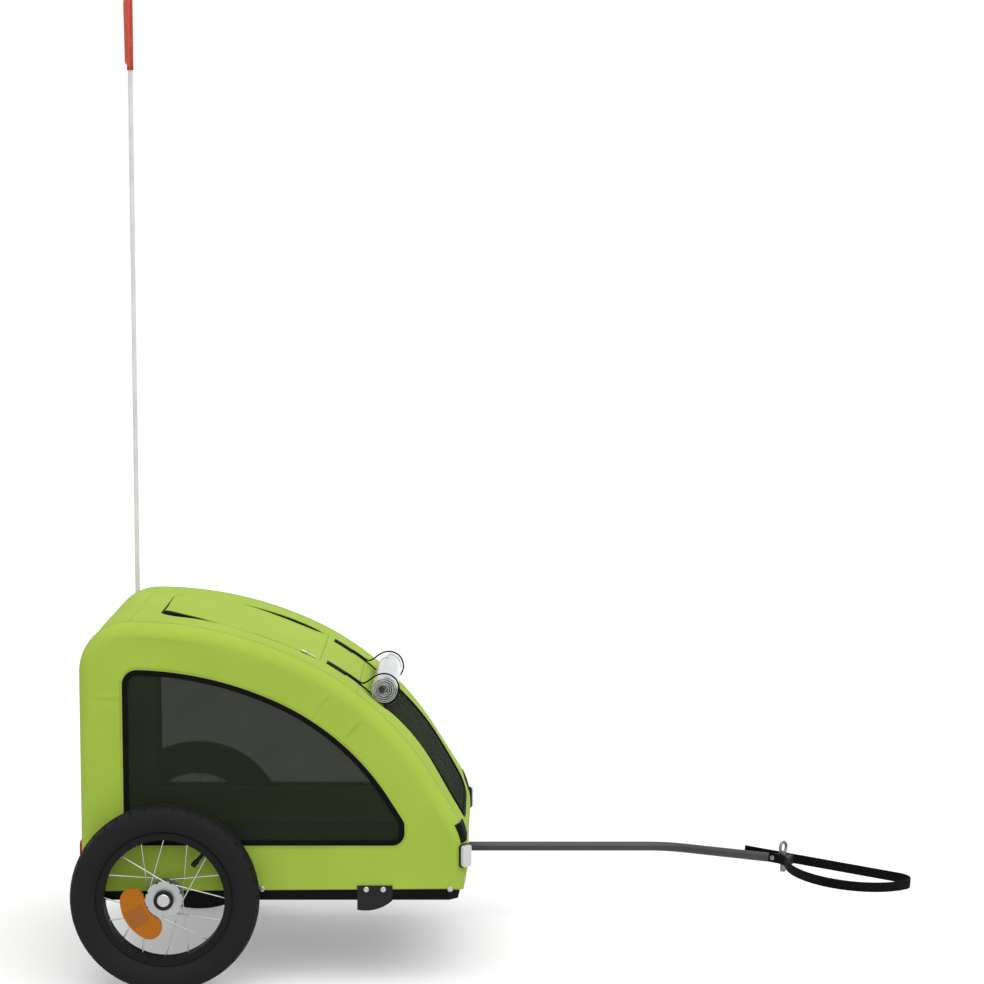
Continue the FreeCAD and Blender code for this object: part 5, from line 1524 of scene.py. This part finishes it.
@dataclass
class SafetyStrap:
    """Webbing loop riveted to the drawbar's end, straight on the left and swelling out on the right."""

    finish: Palette
    end: tuple[float, float, float] = (OUTLINE.axle_x + 1.031579, 0.108106, 0.1225)
    bend: float = 25.0
    droop: float = 4.0
    side: float = 0.008
    far_lap: float = 0.088
    near_lap: float = 0.014
    start: float = 0.024
    width: float = 0.0165
    thickness: float = 0.0024
    bulge: float = 0.096
    flare_radius: float = 0.0254
    swell_radius: float = 0.113
    tip_radius: float = 0.023
    lap_steps: int = 8
    flare_steps: int = 26
    swell_steps: int = 90
    tip_steps: int = 40
    back_steps: int = 60

    def middle_line(self) -> Array:
        """Middle line of the loop in the arm's own plane, from the right lap round to the left lap.

        The flare bends off the bar, the swell runs out to the tip and the left strand is straight.
        Circles that touch have their middles apart by the sum or difference of their radii.
        """
        grow = self.thickness / 2
        flare_middle = np.array([-self.start, -self.side - self.flare_radius])
        swell_y = self.swell_radius - self.bulge
        rise = swell_y - flare_middle[1]
        run = math.sqrt((self.swell_radius + self.flare_radius) ** 2 - rise ** 2)
        swell_middle = np.array([flare_middle[0] + run, swell_y])
        tip_y = self.side - self.tip_radius
        fall = swell_y - tip_y
        run = math.sqrt((self.swell_radius - self.tip_radius) ** 2 - fall ** 2)
        tip_middle = np.array([swell_middle[0] + run, tip_y])
        flare = math.atan2(rise, swell_middle[0] - flare_middle[0])
        close = math.atan2(fall, tip_middle[0] - swell_middle[0])

        def turn(centre: Array, radius: float, start: float, finish: float, count: int) -> Array:
            """Arc about a centre from one angle to another, without its first point."""
            angle = np.linspace(start, finish, count)[1:]
            return centre + radius * stacked(np.cos(angle), np.sin(angle))

        lap = np.linspace(-self.start - self.near_lap, -self.start, self.lap_steps)
        back = np.linspace(tip_middle[0], -self.far_lap, self.back_steps)[1:]
        return np.concatenate([
            stacked(lap, -self.side - grow),
            turn(flare_middle, self.flare_radius - grow, math.pi / 2, flare, self.flare_steps),
            turn(swell_middle, self.swell_radius + grow, flare - math.pi, -close, self.swell_steps),
            turn(tip_middle, self.tip_radius + grow, -close, math.pi / 2, self.tip_steps),
            stacked(back, self.side + grow)])

    def to_arm(self, flat: Array) -> Array:
        """Turn points of the arm's own frame to where the drawbar ends, drooping."""
        droop, bend = math.radians(self.droop), -math.radians(self.bend)
        x, y, z = np.moveaxis(flat, -1, 0)
        fallen = x * math.cos(droop) + z * math.sin(droop)
        height = z * math.cos(droop) - x * math.sin(droop)
        return stacked(fallen * math.cos(bend) - y * math.sin(bend),
                       fallen * math.sin(bend) + y * math.cos(bend), height)

    def build(self) -> None:
        """Build the loop as a flat band along its middle line."""
        loop = self.middle_line()
        path = self.to_arm(stacked(loop[:, 0], loop[:, 1], 0.0)) + self.end
        along = unit(np.gradient(path, axis=0))
        side = np.tile(self.to_arm(np.array([0.0, 0.0, 1.0])), (len(path), 1))
        piece = swept("tow_strap", path, side, np.cross(along, side),
                      rounded_section(self.width, self.thickness, corners=24, power=5), closed=False)
        dress(piece, self.finish.webbing, "drawbar", "webbing", "safety_strap")


@dataclass
class Pennant:
    """Small triangular flag sleeved on the pole, hanging slack towards the right side."""

    finish: Palette
    pole: tuple[float, float] = (OUTLINE.axle_x - 0.099, 0.2236)
    bottom: float = 1.468
    height: float = 0.172
    length: float = 0.200
    sag: float = 0.060
    turn: float = 8.4
    grip: float = 0.0042
    hem: float = 0.0014
    wave: float = 0.008
    ripple: float = 0.0022
    ripple_halves: float = 3.4
    curl: float = 0.0016
    curl_waves: float = 40.0
    point_share: float = 0.985
    cloth: float = 0.0012
    length_steps: int = 110
    height_steps: int = 44
    sleeve_steps: int = 12

    def build(self) -> None:
        """Build the cloth and its sleeve.

        Along its length u the cloth swings by wave * sin(pi u / length) with a smaller ripple, and
        its reach is the sum of sqrt(1 - swing'^2) du, so that the cloth keeps its length. Its height
        shrinks evenly to the point, which sags, and the whole is turned about the pole.
        """
        run = np.linspace(0, self.length * self.point_share, self.length_steps)
        share = run / self.length
        ripple = self.ripple * np.sin(self.ripple_halves * math.pi * share)
        swing = -self.wave * np.sin(math.pi * share) + ripple
        slope = np.gradient(swing, run)
        reach = np.concatenate([[0], np.cumsum(np.sqrt(1 - slope[1:] ** 2) * np.diff(run))])
        level = np.linspace(-1, 1, self.height_steps)[None]
        tall = (self.height / 2 * (1 - share))[:, None]
        aside = swing[:, None] + self.curl * np.sin(self.curl_waves * run)[:, None] * level
        ahead = -self.grip - reach[:, None]
        cosine, sine = math.cos(math.radians(self.turn)), math.sin(math.radians(self.turn))
        points = stacked(self.pole[0] + aside * cosine - ahead * sine,
                         self.pole[1] + aside * sine + ahead * cosine,
                         self.bottom + self.height / 2 - self.sag * share[:, None] + tall * level)
        flat = stacked(run[:, None], tall * level)
        piece = make_piece("pennant_cloth", points, grid_faces(*points.shape[:2]), flat)
        dress(thicken(piece, self.cloth, 0.0), self.finish.pennant, "flag", "orange_cloth", "pennant")
        self.length
        round(self.height * self.length / 2, 4)
        rise = np.linspace(self.bottom, self.bottom + self.height, self.sleeve_steps)
        path = stacked(*self.pole, rise)
        x_way, y_way = (np.tile(way, (len(path), 1)) for way in ([1.0, 0.0, 0.0], [0.0, 1.0, 0.0]))
        width = 2 * (self.grip + self.hem)
        ring = rounded_section(width, width, corners=24, power=2)
        sleeve = swept("pennant_sleeve", path, x_way, y_way, ring, closed=False)
        dress(sleeve, self.finish.pennant, "flag", "orange_cloth", "pennant")


@dataclass(frozen=True)
class HardParts:
    """Finishes of the rigid pieces, by the names of their frame nodes."""

    black_paint: Coating = Coating("black_paint", (0.004, 0.004, 0.0045), 0.42, gloss=0.06)
    bright_steel: Coating = Coating("bright_steel", (0.48, 0.485, 0.48), 0.28, metal=1.0)
    hub_alloy: Coating = Coating("hub_alloy", (0.40, 0.425, 0.42), 0.36, metal=1.0, grain=400)
    rim_paint: Coating = Coating("rim_paint", (0.0045, 0.0045, 0.005), 0.5, gloss=0.15)
    valve_rubber: Coating = Coating("valve_rubber", (0.006, 0.006, 0.006), 0.6, gloss=0.15)
    plastic: Coating = Coating("black_plastic", (0.008, 0.008, 0.009), 0.5, relief=0.2, gloss=0.2)
    bracket: Coating = Coating("bracket_plastic", (0.010, 0.010, 0.011), 0.45, relief=0.2, gloss=0.2)
    drawbar: Coating = Coating("drawbar_paint", (0.050, 0.051, 0.053), 0.36, metal=0.3, coat=0.1, gloss=0.3)
    pole: Coating = Coating("white_pole", (0.68, 0.69, 0.68), 0.4, gloss=0.3)
    board: Coating = Coating("floor_board", (0.008, 0.008, 0.009), 0.7, gloss=0.1)
    white_lens: Lens = Lens("white_lens", (0.75, 0.76, 0.77))
    red_lens: Lens = Lens("red_lens", (0.50, 0.010, 0.014), coat=0.15, gloss=0.2)
    amber_lens: Lens = Lens("amber_lens", (0.60, 0.195, 0.009), coat=0.06, gloss=0.1,
                            plate=(0.34, 0.115, 0.024), plate_out=REFLECTOR_FACE - PLATE_DEPTH)
    pin_steel: Coating = Coating("pin_steel", (0.20, 0.20, 0.205), 0.34, metal=1.0)

    def dress_all(self, nodes: dict[str, bpy.types.Object]) -> None:
        """Give every rigid node its finish."""
        rubber = TyreRubber("tyre_rubber", (0.0070, 0.0070, 0.0072), (float(AXLE[0]), float(AXLE[2])))
        finishes = [
            (self.black_paint, ("rail_", "cross_tubes", "axle_beam", "axle_sleeves", "hoop_",
                                "roof_tubes")),
            (self.board, ("floor_board",)),
            (self.plastic, ("reflector_backs", "dust_ring", "drawbar_cap", "flag_sleeve")),
            (self.bracket, ("side_brackets", "drawbar_socket")),
            (self.bright_steel, ("frame_bolts", "axles", "release_button", "spokes", "bearings",
                                 "clamp_screw")),
            (self.pin_steel, ("hitch_pin", "strap_rivets")),
            (self.hub_alloy, ("hub_",)), (self.rim_paint, ("rim_",)), (rubber, ("tyre_",)),
            (self.valve_rubber, ("valve_",)), (self.white_lens, ("front_reflectors",)),
            (self.red_lens, ("rear_reflectors",)), (self.amber_lens, ("wheel_reflector",)),
            (self.drawbar, ("drawbar_tube",)), (self.pole, ("flag_pole",)),
        ]
        for finish, starts in finishes:
            material = finish.material()
            for name, node in nodes.items():
                if name.startswith(starts):
                    node.data.materials.clear()
                    node.data.materials.append(material)
                    LOG.info("finished %s with %s", name, finish.name)


@dataclass(frozen=True)
class Studio:
    """White room with a pale floor and one wide soft lamp high on the right."""

    floor: float = 0.70
    floor_glow: float = 0.30
    ambient: float = 0.63
    key: float = 2.0
    key_turn: tuple[float, float] = (25.0, 12.0)
    key_spread: float = 70.0
    floor_half: float = 60.0
    lens: float = 98.37
    sensor: float = 36.0
    eye: tuple[float, float, float] = (-0.0182, -4.411, 1.248)
    tilt: float = 83.8

    def background(self) -> None:
        """White where the camera or a mirror sees it, with a plain soft light from all round."""
        world = bpy.data.worlds.new("white_room")
        bpy.context.scene.world = world
        world.use_nodes = True
        nodes, links = world.node_tree.nodes, world.node_tree.links
        seen = nodes["Background"]
        seen.inputs["Color"].default_value = (1, 1, 1, 1)
        glow = nodes.new("ShaderNodeBackground")
        glow.inputs["Color"].default_value = (1, 1, 1, 1)
        glow.inputs["Strength"].default_value = self.ambient
        mix = nodes.new("ShaderNodeMixShader")
        links.new(shown_to_eye(world.node_tree), mix.inputs["Fac"])
        links.new(glow.outputs[0], mix.inputs[1])
        links.new(seen.outputs[0], mix.inputs[2])
        links.new(mix.outputs[0], nodes["World Output"].inputs["Surface"])

    def ground(self) -> None:
        """Pale floor that takes the trailer's shadow, with a faint glow that lights nothing.

        The glow is there only for the camera, mirrors and glass, so that the open floor is white.
        """
        corners = np.array([[-1, -1, 0], [1, -1, 0], [1, 1, 0], [-1, 1, 0]]) * self.floor_half
        plane = make_piece("floor", corners, np.array([[0, 1, 2, 3]]))
        pattern = Pattern("pale_floor").set(Base_Color=(self.floor, self.floor, self.floor, 1),
                                            Roughness=0.9, Specular_IOR_Level=0.0,
                                            Emission_Color=(1, 1, 1, 1))
        glow = pattern.combine("MULTIPLY", shown_to_eye(pattern.tree), self.floor_glow)
        pattern.link(glow, pattern.surface.inputs["Emission Strength"])
        plane.data.materials.append(pattern.material)

    def lamp(self) -> None:
        """Hang one wide soft lamp high on the right, so far off that it lights the floor evenly."""
        data = bpy.data.lights.new("wide_lamp", "SUN")
        data.energy = self.key
        data.angle = math.radians(self.key_spread)
        lamp = bpy.data.objects.new("wide_lamp", data)
        lamp.rotation_euler = [math.radians(angle) for angle in (*self.key_turn, 0)]
        bpy.context.scene.collection.objects.link(lamp)

    def camera(self) -> None:
        """Stand the camera where the photo was taken from, low on the trailer's right side."""
        data = bpy.data.cameras.new("side_view")
        data.lens = self.lens
        data.sensor_width = self.sensor
        camera = bpy.data.objects.new("side_view", data)
        camera.location = self.eye
        camera.rotation_euler = (math.radians(self.tilt), 0, 0)
        bpy.context.scene.collection.objects.link(camera)
        bpy.context.scene.camera = camera

    def build(self) -> None:
        """Set up the room, its lamps and the camera."""
        self.background()
        self.ground()
        self.lamp()
        self.camera()
        bpy.context.scene.view_settings.view_transform = "Standard"


def main() -> None:
    """Build the trailer's looks piece by piece."""
    logging.basicConfig(level=logging.INFO)
    palette = Palette.mixed()
    HardParts().dress_all(frame["nodes"])
    for side in Side:
        SidePanel(side, palette).build()
    MiddleCover(palette).build()
    RainRoll(palette).build()
    SafetyStrap(palette).build()
    Pennant(palette).build()
    Studio().build()


if __name__ == "__main__":
    main()
